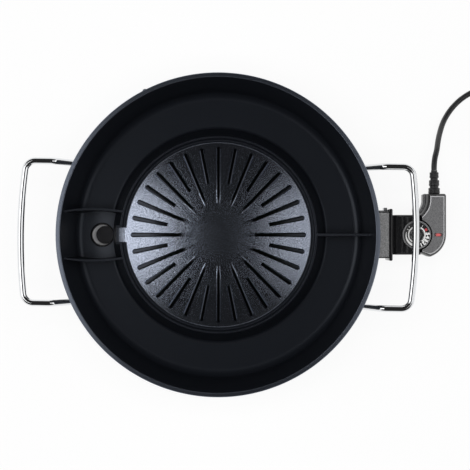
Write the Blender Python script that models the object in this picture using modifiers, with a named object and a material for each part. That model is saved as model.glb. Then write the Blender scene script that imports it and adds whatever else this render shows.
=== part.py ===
"""Electric hot pot with a grill island, wire handles, drip tray and plug-in thermostat controller.

Run with: blender --background --python part.py
Units are metres and +Z is up. Every place is measured from the pan's own axis, at the height of the
table; the root empty then shifts the whole cooker so that its box is centred on the origin.
"""

from math import acos, ceil, cos, pi, radians, sin, sqrt

import bmesh
import bpy
from mathutils import Matrix, Vector

# Places whose names end in OUT or IN are measured outwards or inwards from the pan's edge

# Clearances and facets shared by all pieces
GAP = 0.0003
OVERRUN = 0.004
MERGE = 0.00002
PAN_STEPS = 60
DISH_STEPS = 32
POST_STEPS = 12
SCREW_SIDES = 8
SHARP_ANGLE = radians(35)

# Pan casting
PAN_RADIUS = 0.190
RIM_Z = 0.118
RIM_WIDTH = 0.005
RIM_DEPTH = 0.007
RIM_ROUND = 0.0012
WALL = 0.0035
CHANNEL_FLARE = 0.018
CHANNEL_FILLET = 0.010
FLOOR_Z = 0.062
FLOOR_THICKNESS = 0.004
BLIND_DEPTH = 0.003
LUG_ANGLE = radians(117)
LUG_RADIUS = 0.0030
LUG_PROUD = 0.0012

# Grill island in the middle of the pan
CHANNEL_WIDTH = 0.042
ISLAND_FILLET = 0.004
ISLAND_WALL = 0.004
ISLAND_FLARE = 0.012
LIP_WIDTH = 0.0030
LIP_SLOPE_SHARE = 0.25
LIP_Z = 0.092
MOAT_WIDTH = 0.0040
MOAT_SLOPE_SHARE = 0.25
MOAT_Z = 0.0872
PLATE_EDGE_Z = 0.0885
PLATE_UNDER = 0.0032
CROWN_RADIUS = 0.036
CROWN_Z = 0.092
RIB_COUNT = 32
RIB_WIDTH = 0.0055
RIB_END_GAP = 0.0055
RIB_LONG_START = 0.038
RIB_SHORT_START = 0.064
RIB_SINK = 0.0002
RIB_ROOT_Z = 0.0860

# Spout through the lip, drain box behind it and divider opposite
SPOUT_WIDTH = 0.019
SPOUT_OVERHANG = 0.0045
SPOUT_EAR = 0.0022
SPOUT_ROOT_Z = 0.0855
DAM_SPREAD = 0.0275
DAM_BOW = 0.003
DAM_TOP_WIDTH = 0.0023
DAM_FOOT_WIDTH = 0.0038
DAM_WALL_DROP = 0.008
DIVIDER_TOP_WIDTH = 0.0028
DIVIDER_FOOT_WIDTH = 0.0040
DIVIDER_WALL_DROP = 0.013
WEB_STATIONS = 7
RAMP_WIDTH = 0.057
RAMP_LOW_GAP = 0.014
RAMP_TOP_Z = 0.068
RAMP_ROOT = 0.0015
RAMP_CREST_SHARES = (0.05, 0.25, 0.45, 0.7, 1.0)
DRAIN_INSET = 0.030
DRAIN_BORE_RADIUS = 0.01225
DRAIN_TUBE_WALL = 0.0010
DRAIN_TUBE_TOP_Z = 0.0630
DRAIN_TUBE_END_Z = 0.0365
DRAIN_FLANGE_RADIUS = 0.0175
DRAIN_FLANGE_THICKNESS = 0.0015

# Tubular heating element, its terminal pins and its clips
ELEMENT_RADIUS = 0.004
ELEMENT_Z = 0.0637
ELEMENT_OPEN_ANGLE = radians(12)
ELEMENT_POINTS = 30
LEAD_STEP = 0.006
LEAD_SHARES = [(0.0, 0.50, 0.40), (0.09, 0.19, 0.80), (0.27, 0.03, 0.99), (0.55, 0.0, 1.0)]
TERMINAL_SPREAD = 0.012
TERMINAL_START_IN = 0.030
TERMINAL_END_OUT = 0.0185
TERMINAL_RADIUS = 0.0024
CLIP_COUNT = 3
CLIP_FIRST_ANGLE = radians(60)
CLIP_WIDTH = 0.012
CLIP_THICKNESS = 0.0012
CLIP_BOSS_RADIUS = 0.0050
CLIP_BOSS_INSET = 0.025
CLIP_INNER_INSET = 0.032
CLIP_OUTER_INSET = 0.0062
CLIP_SCREW_LENGTH = 0.008

# Heat shield dish under the island
SHIELD_FLANGE_OUT = 0.008
SHIELD_THICKNESS = 0.0012
SHIELD_DISH_INSET = 0.002
SHIELD_BASE_INSET = 0.006
SHIELD_BASE_Z = 0.0405
SHIELD_SCREW_OUT = 0.0035
SHIELD_SCREW_COUNT = 3
SHIELD_SCREW_FIRST_ANGLE = radians(90)
SHIELD_DRAIN_CLEARANCE = 0.0018

# Screws: head radius, head height and shank radius
SCREW_HEAD = 0.0036
SCREW_HEAD_HEIGHT = 0.0022
SCREW_SHANK = 0.0018
SMALL_HEAD = 0.0026
SMALL_HEAD_HEIGHT = 0.0016
SMALL_SHANK = 0.0012
HOLE_CLEARANCE = 0.0004

# Socket housing on the side of the pan
SHROUD_ROOF = 0.0032
LEAD_CLEARANCE = 0.0005
SOCKET_WIDTH = 0.057
SOCKET_WALL = 0.0035
SOCKET_HALF_HEIGHT = 0.0160
SHROUD_START_IN = 0.044
SHROUD_END_IN = 0.007
SOCKET_BACK_IN = 0.003
SOCKET_FLANGE_OUT = 0.0175
SOCKET_FACE_OUT = 0.0217
SOCKET_FLANGE_WIDTH = 0.0634
SOCKET_FLANGE_HALF_HEIGHT = 0.0190
SOCKET_ROUND = 0.0025
SOCKET_SCREW_IN = 0.0365
SOCKET_SCREW_SPREAD = 0.0202
PIN_HOLE_CLEARANCE = 0.0005

# Earth contact strip beside the socket
EARTH_THICKNESS = 0.0012
EARTH_HEIGHT = 0.010
EARTH_FOOT_IN = 0.042
EARTH_FOOT_LENGTH = 0.011
EARTH_FOOT_WIDTH = 0.0105
EARTH_END_OUT = 0.0168
EARTH_HUMP_LENGTH = 0.0040
EARTH_HUMP = 0.0045

# Probe and the pocket that it slides into
PROBE_RADIUS = 0.0025
PROBE_CLEARANCE = 0.0004
PROBE_TIP_IN = 0.0585
POCKET_START_IN = 0.0615
POCKET_END_IN = 0.045
POCKET_WIDTH = 0.0130
POCKET_UNDER = 0.0045

# Legs and their rubber pads
LEG_INSET = 0.038
LEG_ANGLES = [radians(45 + 90 * n) for n in range(4)]
LEG_TOP_RADIUS = 0.0125
LEG_FOOT_RADIUS = 0.0105
LEG_FOOT_Z = 0.0063
LEG_BORE_RADIUS = 0.0060
LEG_BORE_TOP_Z = 0.045
PAD_HEIGHT = 0.0060
PAD_RADIUS = 0.0110
PAD_CHAMFER = 0.0012
PAD_STEM_HEIGHT = 0.008

# Wire handles
HANDLE_WIRE = 0.004
HANDLE_STANDOFF = 0.0475
HANDLE_FOOT_ANGLE = radians(26.24)
HANDLE_BOW = 0.0056
HANDLE_GRIP_DROP = 0.014
HANDLE_SHOULDER_OUT = 0.0241
HANDLE_KNEE_IN = 0.0064
HANDLE_END_IN = 0.0449
HANDLE_BEND = 0.012
HANDLE_BEND_STEPS = 5
HANDLE_GRIP_SHARES = (0.66, 0.33, 0)
HANDLE_TURN = radians(-0.95)
BRACKET_ROOF = 0.0038
BRACKET_UNDER = 0.0026
BRACKET_LENGTH = 0.018
BRACKET_WIDTH = 0.031
BRACKET_IN = 0.0329
BRACKET_SCREW_SPREAD = 0.0105
BRACKET_ROUND = 0.0015

# Drip tray and its runners
TRAY_OUTER_IN = 0.006
TRAY_INNER_IN = 0.094
TRAY_HALF_WIDTH = 0.0300
TRAY_LIP_HALF_WIDTH = 0.0345
TRAY_BASE_Z = 0.0085
TRAY_TOP_Z = 0.0335
TRAY_LIP_THICKNESS = 0.0015
TRAY_WALL = 0.0016
TRAY_PULL = 0.010
TRAY_PULL_DROP = 0.008
RUNNER_SHEET = 0.0018
RUNNER_LEDGE = 0.0035
RUNNER_OUTER_IN = 0.014
RUNNER_INNER_IN = 0.090
RUNNER_CLEAR_Z = 0.0392
RUNNER_TAB_IN = 0.040
RUNNER_TAB_LENGTH = 0.014
RUNNER_TAB_WIDTH = 0.0125
RUNNER_INNER_TAB_IN = 0.084
RUNNER_INNER_TAB_LENGTH = 0.011
RUNNER_INNER_TAB_WIDTH = 0.0095
RUNNER_SCREW_SHARE = 0.667

# Controller: nose block
NOSE_FRONT_OUT = 0.004
NOSE_SHOULDER_OUT = 0.0245
NOSE_HALF_WIDTH = 0.0246
NOSE_TONGUE_GAP = 0.0008
NOSE_TOP = 0.0165
NOSE_CAVITY_OUT = 0.030
NOSE_CAVITY_END_OUT = 0.0543
NOSE_CAVITY_HALF_WIDTH = 0.0205
NOSE_ROOF = 0.0045
SLEEVE_WALL = 0.0015
SLEEVE_START_OUT = 0.0045
SLEEVE_END_OUT = 0.0322
SWITCH_START_OUT = 0.0326
SWITCH_END_OUT = 0.0518
SWITCH_HALF_WIDTH = 0.0165
SWITCH_HEIGHT = 0.0215
NOSE_SCREW_OUT = 0.0273
NOSE_SCREW_SPREAD = 0.0180
NOSE_SCREW_LENGTH = 0.0085

# Controller: shells behind the dial
SHELL_FRONT_OUT = 0.0560
SHELL_RIGHT_OUT = 0.0878
SHELL_TOP_Y = 0.0504
SHELL_STEM_OUT = 0.0618
SHELL_STEM_Y = 0.0433
SHELL_STEM_ROUND = 0.0221
SHELL_HEEL_Y = -0.0220
SHELL_CHIN_ROUND = 0.0282
SHELL_CHIN_ANGLE = radians(-72.5)
SHELL_CORNER = 0.0018
SHELL_STEP = 0.0026
SHELL_WALL = 0.0020
SHELL_PARTING = 0.0015
SHELL_TOP = 0.0180
SHELL_BASE = 0.0160
ARC_STEPS = 10
SHELL_BOSS_RADIUS = 0.0034
SHELL_SCREW_PLACES = [(0.0125, 0.0300), (0.0255, 0.0120), (0.0140, -0.0185)]
SHELL_SCREW_SUNK = 0.004

# Lamp behind its window
LAMP_OUT = 0.0772
LAMP_RADIUS = 0.0017
LAMP_LENGTH = 0.010
LENS_LENGTH = 0.009
LENS_WIDTH = 0.0032
LENS_FLANGE = 0.0012
LENS_FLANGE_THICKNESS = 0.0012
LENS_PROUD = 0.0003

# Dial and its shaft
DIAL_OUT = 0.0505
DIAL_RADIUS = 0.0175
DIAL_WELL = 0.0185
DIAL_DISC = 0.0042
DIAL_EDGE = 0.0010
DIAL_GRIP_RADIUS = 0.0088
DIAL_GRIP_HEIGHT = 0.0045
DIAL_FLUTES = 8
DIAL_FLUTE_RADIUS = 0.0014
DIAL_STEPS = 32
SHAFT_RADIUS = 0.0030
SHAFT_SEAT = 0.0050

# Cord boot and clamp
CORD_RADIUS = 0.0035
BOOT_OUT = 0.0752
BOOT_LENGTH = 0.0290
BOOT_BASE_RADIUS = 0.0071
BOOT_END_RADIUS = 0.0056
BOOT_NECK_RADIUS = 0.0052
BOOT_GROOVE = 0.0011
BOOT_GROOVE_SHARE = 0.25
BOOT_SEGMENTS = 3
BOOT_FLANGE_RADIUS = 0.0080
BOOT_FLANGE_THICKNESS = 0.0025
BOOT_TAIL_LENGTH = 0.012
BOOT_STEPS = 12
CLAMP_LENGTH = 0.006
CLAMP_HALF_WIDTH = 0.0085
CLAMP_THICKNESS = 0.0026
CLAMP_SCREW_SPREAD = 0.0062
CLAMP_POST_RADIUS = 0.0024
CLAMP_SCREW_LENGTH = 0.010

# Free cord: the stretch from the boot to the coil, as chosen points from the boot's end, with
# their heights above the table
CORD_ROUTE = [
    (0.0000, 0.0003, 0.0515),
    (0.0000, 0.0056, 0.0515),
    (0.0014, 0.0151, 0.0490),
    (0.0050, 0.0261, 0.0428),
    (0.0088, 0.0386, 0.0322),
    (0.0134, 0.0506, 0.0212),
    (0.0190, 0.0630, 0.0118),
    (0.0253, 0.0736, 0.0066),
    (0.0333, 0.0841, 0.0042),
    (0.0438, 0.0941, 0.0036),
    (0.0563, 0.1021, 0.0036),
    (0.0698, 0.1074, 0.0039),
    (0.0828, 0.1099, 0.0044),
    (0.0928, 0.1106, 0.0046),
    (0.0998, 0.1106, 0.0046),
]
CORD_STEP = 0.0085

# Free cord: the short stretch from the coil to the plug, as chosen points from the coil's end
TAIL_ROUTE = [
    (0.0000, 0.0000, 0.0000),
    (0.0000, -0.0072, 0.0000),
    (0.0010, -0.0172, -0.0002),
    (0.0025, -0.0267, -0.0002),
    (0.0035, -0.0352, 0.0000),
    (0.0035, -0.0422, 0.0000),
]

# Coil of the spare length, its tie and the plug
COIL_RADIUS = 0.0425
COIL_PITCH = 0.0076
COIL_LAYER = 0.0075
COIL_LIFT = 0.0011
COIL_TURNS = 4.25
COIL_CLIMB_TURNS = 0.5
COIL_LOOP_POINTS = 24
COIL_ENTRY_ANGLE = radians(90)
TIE_ANGLE = radians(225)
TIE_WIDTH = 0.006
TIE_THICKNESS = 0.0007
PLUG_LENGTH = 0.034
PLUG_WIDTH = 0.036
PLUG_ROUND = 0.006
PLUG_NOSE_SHARE = 0.30
PLUG_PIN_RADIUS = 0.0024
PLUG_PIN_LENGTH = 0.019
PLUG_PIN_SPREAD = 0.0095
PLUG_PIN_DEPTH = 0.006

# Radii that follow the pan's edge
CHANNEL_RADIUS = PAN_RADIUS - CHANNEL_FLARE
ISLAND_RADIUS = CHANNEL_RADIUS - CHANNEL_WIDTH
LIP_RADIUS = ISLAND_RADIUS - ISLAND_FLARE
RIB_END = LIP_RADIUS - LIP_WIDTH - MOAT_WIDTH - RIB_END_GAP
SPOUT_REACH = LIP_RADIUS + SPOUT_OVERHANG
RAMP_LOW_X = CHANNEL_RADIUS - RAMP_LOW_GAP
DRAIN_X = CHANNEL_RADIUS - DRAIN_INSET

# Places along X that follow the pan's edge
TERMINAL_START_X = PAN_RADIUS - TERMINAL_START_IN
TERMINAL_END_X = PAN_RADIUS + TERMINAL_END_OUT
CLIP_BOSS_PLACE = ISLAND_RADIUS - CLIP_BOSS_INSET
CLIP_INNER = ISLAND_RADIUS - CLIP_INNER_INSET
CLIP_OUTER = ISLAND_RADIUS - CLIP_OUTER_INSET
SHIELD_RADIUS = ISLAND_RADIUS + SHIELD_FLANGE_OUT
SHIELD_DISH_RADIUS = ISLAND_RADIUS - SHIELD_DISH_INSET
SHIELD_BASE_RADIUS = ISLAND_RADIUS - SHIELD_BASE_INSET
SHIELD_SCREW_PLACE = ISLAND_RADIUS + SHIELD_SCREW_OUT
SHROUD_START_X = PAN_RADIUS - SHROUD_START_IN
SHROUD_END_X = PAN_RADIUS - SHROUD_END_IN
SOCKET_BACK_X = PAN_RADIUS - SOCKET_BACK_IN
SOCKET_FLANGE_X = PAN_RADIUS + SOCKET_FLANGE_OUT
SOCKET_FACE_X = PAN_RADIUS + SOCKET_FACE_OUT
SOCKET_SCREW_X = PAN_RADIUS - SOCKET_SCREW_IN
EARTH_FOOT_X = PAN_RADIUS - EARTH_FOOT_IN
EARTH_END_X = PAN_RADIUS + EARTH_END_OUT
PROBE_TIP_X = PAN_RADIUS - PROBE_TIP_IN
POCKET_START_X = PAN_RADIUS - POCKET_START_IN
POCKET_END_X = PAN_RADIUS - POCKET_END_IN
LEG_PLACE = PAN_RADIUS - LEG_INSET
TRAY_OUTER_X = PAN_RADIUS - TRAY_OUTER_IN
TRAY_INNER_X = PAN_RADIUS - TRAY_INNER_IN
RUNNER_OUTER_X = PAN_RADIUS - RUNNER_OUTER_IN
RUNNER_INNER_X = PAN_RADIUS - RUNNER_INNER_IN
RUNNER_TAB_X = PAN_RADIUS - RUNNER_TAB_IN
RUNNER_INNER_TAB_X = PAN_RADIUS - RUNNER_INNER_TAB_IN
NOSE_FRONT_X = PAN_RADIUS + NOSE_FRONT_OUT
NOSE_SHOULDER_X = PAN_RADIUS + NOSE_SHOULDER_OUT
NOSE_CAVITY_X = PAN_RADIUS + NOSE_CAVITY_OUT
NOSE_CAVITY_END_X = PAN_RADIUS + NOSE_CAVITY_END_OUT
SLEEVE_START_X = PAN_RADIUS + SLEEVE_START_OUT
SLEEVE_END_X = PAN_RADIUS + SLEEVE_END_OUT
SWITCH_START_X = PAN_RADIUS + SWITCH_START_OUT
SWITCH_END_X = PAN_RADIUS + SWITCH_END_OUT
NOSE_SCREW_X = PAN_RADIUS + NOSE_SCREW_OUT
SHELL_FRONT_X = PAN_RADIUS + SHELL_FRONT_OUT
SHELL_RIGHT_X = PAN_RADIUS + SHELL_RIGHT_OUT
SHELL_STEM_X = PAN_RADIUS + SHELL_STEM_OUT
LAMP_X = PAN_RADIUS + LAMP_OUT
DIAL_X = PAN_RADIUS + DIAL_OUT
BOOT_X = PAN_RADIUS + BOOT_OUT
SHELL_SCREWS = [(SHELL_FRONT_X + x, y) for x, y in SHELL_SCREW_PLACES]

# Handles: their feet stand at an angle on the pan's edge
HANDLE_WIDTH = 2 * PAN_RADIUS * sin(HANDLE_FOOT_ANGLE)
HANDLE_CHORD_X = PAN_RADIUS * cos(HANDLE_FOOT_ANGLE)
HANDLE_REACH = PAN_RADIUS + HANDLE_STANDOFF
HANDLE_SHOULDER_X = HANDLE_CHORD_X + HANDLE_SHOULDER_OUT
HANDLE_KNEE_X = HANDLE_CHORD_X - HANDLE_KNEE_IN
HANDLE_END_X = HANDLE_CHORD_X - HANDLE_END_IN
BRACKET_X = HANDLE_CHORD_X - BRACKET_IN

# Heights that follow the rim
DAM_WALL_Z = RIM_Z - DAM_WALL_DROP
DIVIDER_WALL_Z = RIM_Z - DIVIDER_WALL_DROP
HANDLE_GRIP_Z = RIM_Z - HANDLE_GRIP_DROP

# Sizes that follow from the ones above
UNDERSIDE_Z = FLOOR_Z - FLOOR_THICKNESS
SEAT_Z = UNDERSIDE_Z - GAP
RIM_INNER_RADIUS = PAN_RADIUS - RIM_WIDTH
WALL_LEAN = (RIM_INNER_RADIUS - CHANNEL_RADIUS) / (RIM_Z - FLOOR_Z)
ISLAND_LEAN = (ISLAND_RADIUS - LIP_RADIUS) / (LIP_Z - FLOOR_Z)
PLATE_UNDER_Z = MOAT_Z - PLATE_UNDER
SOCKET_AXIS_Z = SEAT_Z - SHROUD_ROOF - LEAD_CLEARANCE - ELEMENT_RADIUS
ELEMENT_RING = (
    ISLAND_RADIUS
    - ISLAND_WALL
    - ISLAND_LEAN * (ELEMENT_Z - FLOOR_Z)
    - (ELEMENT_RADIUS + GAP) * sqrt(1 + ISLAND_LEAN**2)
)
HANDLE_SEAT_Z = SEAT_Z - BRACKET_ROOF - HANDLE_WIRE - GAP
NOSE_BASE_Z = SOCKET_AXIS_Z - SHELL_BASE + SHELL_WALL + GAP
NOSE_TOP_Z = SOCKET_AXIS_Z + NOSE_TOP
SHELL_BASE_Z = SOCKET_AXIS_Z - SHELL_BASE
SHELL_TOP_Z = SOCKET_AXIS_Z + SHELL_TOP
PARTING_Z = SOCKET_AXIS_Z + SHELL_PARTING
TRAY_LIP_Z = TRAY_TOP_Z - TRAY_LIP_THICKNESS
PAN_X = (HANDLE_REACH - SHELL_RIGHT_X) / 2

PARTS = bpy.data.collections.new("hot_pot_grill")
CUTTERS = bpy.data.collections.new("cutters")


def clear_scene():
    for item in list(bpy.data.objects):
        bpy.data.objects.remove(item)
    for collection in (PARTS, CUTTERS):
        bpy.context.scene.collection.children.link(collection)


def paint(name, colour, roughness, metallic=0.0):
    material = bpy.data.materials.new(name)
    material.use_nodes = True
    shader = material.node_tree.nodes["Principled BSDF"]
    shader.inputs["Base Color"].default_value = (*colour, 1)
    shader.inputs["Roughness"].default_value = roughness
    shader.inputs["Metallic"].default_value = metallic
    return material


BLACK_COAT = (0.025, 0.026, 0.030)
DARK_PLASTIC = (0.030, 0.030, 0.032)
GREY_PLASTIC = (0.110, 0.110, 0.112)
STEEL = (0.62, 0.62, 0.63)
BRASS = (0.72, 0.55, 0.25)
RUBBER = (0.020, 0.020, 0.021)


def carrier(name, parent=None, place=(0, 0, 0), turn=0.0):
    """An empty on a joint's axis; place is measured from the pan's axis at table height."""
    empty = bpy.data.objects.new(name, None)
    PARTS.objects.link(empty)
    if parent is not None:
        empty.parent = parent
        empty.location = Vector(place) - origin_of(parent)
    empty.rotation_euler = (0, 0, turn)
    return empty


def origin_of(empty):
    """Where an empty stands, measured from the pan's axis."""
    if empty.parent is None:
        return Vector()
    return empty.location + origin_of(empty.parent)


def seat(item, parent, place=(0, 0, 0)):
    item.parent = parent
    item.location = Vector(place) - origin_of(parent)
    return item


def finish_mesh(name, bm, parent, place=(0, 0, 0), material=None):
    """Turn a bmesh into an object: a part where it has a material, otherwise a cutter."""
    bmesh.ops.recalc_face_normals(bm, faces=bm.faces)
    mesh = bpy.data.meshes.new(name)
    bm.to_mesh(mesh)
    bm.free()
    return adopt(name, mesh, parent, place, material)


def adopt(name, data, parent, place, material):
    item = bpy.data.objects.new(name, data)
    if material is None:
        CUTTERS.objects.link(item)
        item.hide_render = True
        item.display_type = "WIRE"
    else:
        PARTS.objects.link(item)
        data.materials.append(material)
    if isinstance(data, bpy.types.Mesh):
        data.shade_smooth()
        data.set_sharp_from_angle(angle=SHARP_ANGLE)
    return seat(item, parent, place)


def add_block(bm, low, high):
    low = Vector(low)
    high = Vector(high)
    size = Matrix.Diagonal((*(high - low), 1))
    bmesh.ops.create_cube(bm, size=1, matrix=Matrix.Translation((low + high) / 2) @ size)


def add_rod(bm, start, end, radius, sides=SCREW_SIDES):
    start = Vector(start)
    along = Vector(end) - start
    turn = Vector((0, 0, 1)).rotation_difference(along).to_matrix().to_4x4()
    middle = Matrix.Translation(start + along / 2)
    bmesh.ops.create_cone(
        bm,
        cap_ends=True,
        segments=sides,
        radius1=radius,
        radius2=radius,
        depth=along.length,
        matrix=middle @ turn,
    )


def block(name, low, high, parent, material=None):
    bm = bmesh.new()
    add_block(bm, low, high)
    return finish_mesh(name, bm, parent, material=material)


def rods(name, runs, sides, parent, material=None):
    """One object with a rod for each (start, end, radius)."""
    bm = bmesh.new()
    for start, end, radius in runs:
        add_rod(bm, start, end, radius, sides)
    return finish_mesh(name, bm, parent, material=material)


def combine(piece, helper, operation):
    change = piece.modifiers.new(f"{operation}_{helper.name}", "BOOLEAN")
    change.operation = operation
    change.object = helper
    change.solver = "EXACT"
    return piece


def fuse(piece, helper):
    return combine(piece, helper, "UNION")


def carve(piece, helper):
    return combine(piece, helper, "DIFFERENCE")


def carve_block(piece, label, low, high):
    return carve(piece, block(f"{piece.name}_{label}", low, high, piece.parent))


def fuse_block(piece, label, low, high):
    return fuse(piece, block(f"{piece.name}_{label}", low, high, piece.parent))


def carve_rods(piece, label, runs, sides=SCREW_SIDES):
    return carve(piece, rods(f"{piece.name}_{label}", runs, sides, piece.parent))


def fuse_rods(piece, label, runs, sides=SCREW_SIDES):
    return fuse(piece, rods(f"{piece.name}_{label}", runs, sides, piece.parent))


def soften(piece, width, segments=2):
    bevel = piece.modifiers.new("rounded_edges", "BEVEL")
    bevel.width = width
    bevel.segments = segments
    bevel.limit_method = "ANGLE"
    bevel.angle_limit = SHARP_ANGLE
    return piece


def turned(name, profile, steps, parent, place=(0, 0, 0), material=None, closed=False):
    """Turn a profile of (radius, height) points that runs down the outer side."""
    mesh = bpy.data.meshes.new(name)
    edges = [(n, n + 1) for n in range(len(profile) - 1)]
    if closed:
        edges.append((len(profile) - 1, 0))
    mesh.from_pydata([(r, 0, z) for r, z in profile], edges, [])
    item = adopt(name, mesh, parent, place, material)
    screw = item.modifiers.new("turned", "SCREW")
    screw.steps = steps
    screw.render_steps = steps
    screw.use_merge_vertices = True
    screw.merge_threshold = MERGE
    screw.use_smooth_shade = True
    return item


def arc(centre, radius, start, end, steps):
    """Points of a flat arc, both ends included."""
    turn = (end - start) / steps
    return [
        (centre[0] + radius * cos(start + turn * n), centre[1] + radius * sin(start + turn * n))
        for n in range(steps + 1)
    ]


def fillet(before, corner, after, radius, steps):
    """Points of an arc that rounds a corner of a path in two or three dimensions."""
    corner = Vector(corner)
    back = (Vector(before) - corner).normalized()
    ahead = (Vector(after) - corner).normalized()
    half = back.angle(ahead) / 2
    run = radius / (sin(half) / cos(half))
    centre = corner + (back + ahead).normalized() * radius / sin(half)
    first = corner + back * run - centre
    last = corner + ahead * run - centre
    sweep = first.angle(last)
    points = []
    for n in range(steps + 1):
        share = n / steps
        mix = (first * sin(sweep * (1 - share)) + last * sin(sweep * share)) / sin(sweep)
        points.append(tuple(centre + mix))
    return points


def prism(name, outline, low, high, parent, material=None):
    """An upright prism over an outline of (x, y) points."""
    bm = bmesh.new()
    bottom = bm.faces.new([bm.verts.new((x, y, low)) for x, y in outline])
    grown = bmesh.ops.extrude_face_region(bm, geom=[bottom])
    tops = [v for v in grown["geom"] if isinstance(v, bmesh.types.BMVert)]
    bmesh.ops.translate(bm, verts=tops, vec=(0, 0, high - low))
    return finish_mesh(name, bm, parent, material=material)


def side_prism(name, outline, reach, parent, material=None):
    """A prism over an outline of (x, z) points that runs from y = -reach to y = reach."""
    bm = bmesh.new()
    near = bm.faces.new([bm.verts.new((x, -reach, z)) for x, z in outline])
    grown = bmesh.ops.extrude_face_region(bm, geom=[near])
    far = [v for v in grown["geom"] if isinstance(v, bmesh.types.BMVert)]
    bmesh.ops.translate(bm, verts=far, vec=(0, reach * 2, 0))
    return finish_mesh(name, bm, parent, material=material)


def shell(name, outline, closed_z, open_z, parent, material):
    """A prism with a wall and a floor, open on the side of open_z."""
    bm = bmesh.new()
    base = bm.faces.new([bm.verts.new((x, y, closed_z)) for x, y in outline])
    grown = bmesh.ops.extrude_face_region(bm, geom=[base])
    mouth_verts = [v for v in grown["geom"] if isinstance(v, bmesh.types.BMVert)]
    bmesh.ops.translate(bm, verts=mouth_verts, vec=(0, 0, open_z - closed_z))
    mouth = [f for f in grown["geom"] if isinstance(f, bmesh.types.BMFace)]
    bmesh.ops.recalc_face_normals(bm, faces=bm.faces)
    bmesh.ops.inset_region(bm, faces=mouth, thickness=SHELL_WALL, use_even_offset=True)
    sunk = bmesh.ops.extrude_face_region(bm, geom=mouth)
    bmesh.ops.delete(bm, geom=mouth, context="FACES_ONLY")
    inner = [v for v in sunk["geom"] if isinstance(v, bmesh.types.BMVert)]
    step = SHELL_WALL if open_z > closed_z else -SHELL_WALL
    for vert in inner:
        vert.co.z = closed_z + step
    return finish_mesh(name, bm, parent, material=material)


def smooth_route(points, step):
    """Points a step apart along a Catmull-Rom curve through the given ones."""
    knots = [Vector(p) for p in points]
    knots = [knots[0] * 2 - knots[1], *knots, knots[-1] * 2 - knots[-2]]
    route = []
    for n in range(1, len(knots) - 2):
        a, b, c, d = knots[n - 1 : n + 3]
        count = max(1, ceil((c - b).length / step))
        for k in range(count):
            t = k / count
            route.append(
                (b * 2 + (c - a) * t + (a * 2 - b * 5 + c * 4 - d) * t**2
                 + (b * 3 - a - c * 3 + d) * t**3) / 2
            )
    route.append(knots[-2])
    return route


def tube(name, points, radius, resolution, parent, material):
    """A round wire along points, with filled caps."""
    curve = bpy.data.curves.new(name, "CURVE")
    curve.dimensions = "3D"
    curve.bevel_depth = radius
    curve.bevel_resolution = resolution
    curve.use_fill_caps = True
    spline = curve.splines.new("POLY")
    spline.points.add(len(points) - 1)
    for spot, point in zip(spline.points, points):
        spot.co = (*point, 1)
    return adopt(name, curve, parent, (0, 0, 0), material)


def add_screw(bm, under_head, direction, head, head_height, shank, length):
    """A screw whose head sits behind under_head and whose shank runs along direction."""
    direction = Vector(direction).normalized()
    under_head = Vector(under_head)
    before = set(bm.faces)
    add_rod(bm, under_head - direction * head_height, under_head, head)
    seat_face = max(
        (face for face in bm.faces if face not in before),
        key=lambda face: face.calc_center_median().dot(direction),
    )
    inset = (head - shank) * cos(pi / SCREW_SIDES)
    bmesh.ops.inset_region(bm, faces=[seat_face], thickness=inset, use_even_offset=True)
    grown = bmesh.ops.extrude_discrete_faces(bm, faces=[seat_face])
    bmesh.ops.translate(bm, verts=grown["faces"][0].verts, vec=direction * length)


def screws(name, places, length, parent, small=False):
    """Like screws, an object each; a place is (point under the head, direction of the shank)."""
    for number, (under_head, direction) in enumerate(places, 1):
        label = f"{name}_{number}"
        bm = bmesh.new()
        add_screw(bm, under_head, direction, *screw_sizes(small), length)
        finish_mesh(label, bm, parent, material=paint(label, STEEL, 0.35, 1.0))


def fuse_screws(piece, places, length, small=False):
    """Screws that are one body with the piece they hold; their heads sit on its face."""
    bm = bmesh.new()
    for face_point, direction in places:
        under_head = Vector(face_point) + Vector(direction) * GAP
        add_screw(bm, under_head, direction, *screw_sizes(small), length)
    return fuse(piece, finish_mesh(f"{piece.name}_screws", bm, piece.parent))


def screw_sizes(small):
    if small:
        return SMALL_HEAD, SMALL_HEAD_HEIGHT, SMALL_SHANK
    return SCREW_HEAD, SCREW_HEAD_HEIGHT, SCREW_SHANK


def around(angle, radius, z):
    return (radius * cos(angle), radius * sin(angle), z)


def wall_radius(z):
    """Inner face of the pan's wall at a height."""
    return CHANNEL_RADIUS + WALL_LEAN * (z - FLOOR_Z)


def island_radius(z):
    """Outer face of the island's side at a height."""
    return ISLAND_RADIUS - ISLAND_LEAN * (z - FLOOR_Z)


def clip_angles():
    return [CLIP_FIRST_ANGLE + 2 * pi * n / CLIP_COUNT for n in range(CLIP_COUNT)]


def shield_screw_angles():
    return [
        SHIELD_SCREW_FIRST_ANGLE + 2 * pi * n / SHIELD_SCREW_COUNT for n in range(SHIELD_SCREW_COUNT)
    ]


def bracket_screw_places():
    """Where the bracket screws enter the floor, with the handles' small turn."""
    places = []
    for side in (1, -1):
        for end in (1, -1):
            for offset in (-BRACKET_SCREW_SPREAD, BRACKET_SCREW_SPREAD):
                x = side * BRACKET_X
                y = end * HANDLE_WIDTH / 2 + offset
                places.append(Matrix.Rotation(HANDLE_TURN, 3, "Z") @ Vector((x, y, 0)))
    return places


def runner_tab_places():
    """Screw places of the runners' outer tabs, under the pan's floor."""
    y = TRAY_LIP_HALF_WIDTH + GAP + RUNNER_TAB_WIDTH * RUNNER_SCREW_SHARE
    return [(-RUNNER_TAB_X, y), (-RUNNER_TAB_X, -y)]


def runner_inner_places():
    """Screw places of the runners' inner tabs, under the heat shield."""
    y = TRAY_LIP_HALF_WIDTH + GAP + RUNNER_INNER_TAB_WIDTH * RUNNER_SCREW_SHARE
    return [(-RUNNER_INNER_TAB_X, y), (-RUNNER_INNER_TAB_X, -y)]


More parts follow.
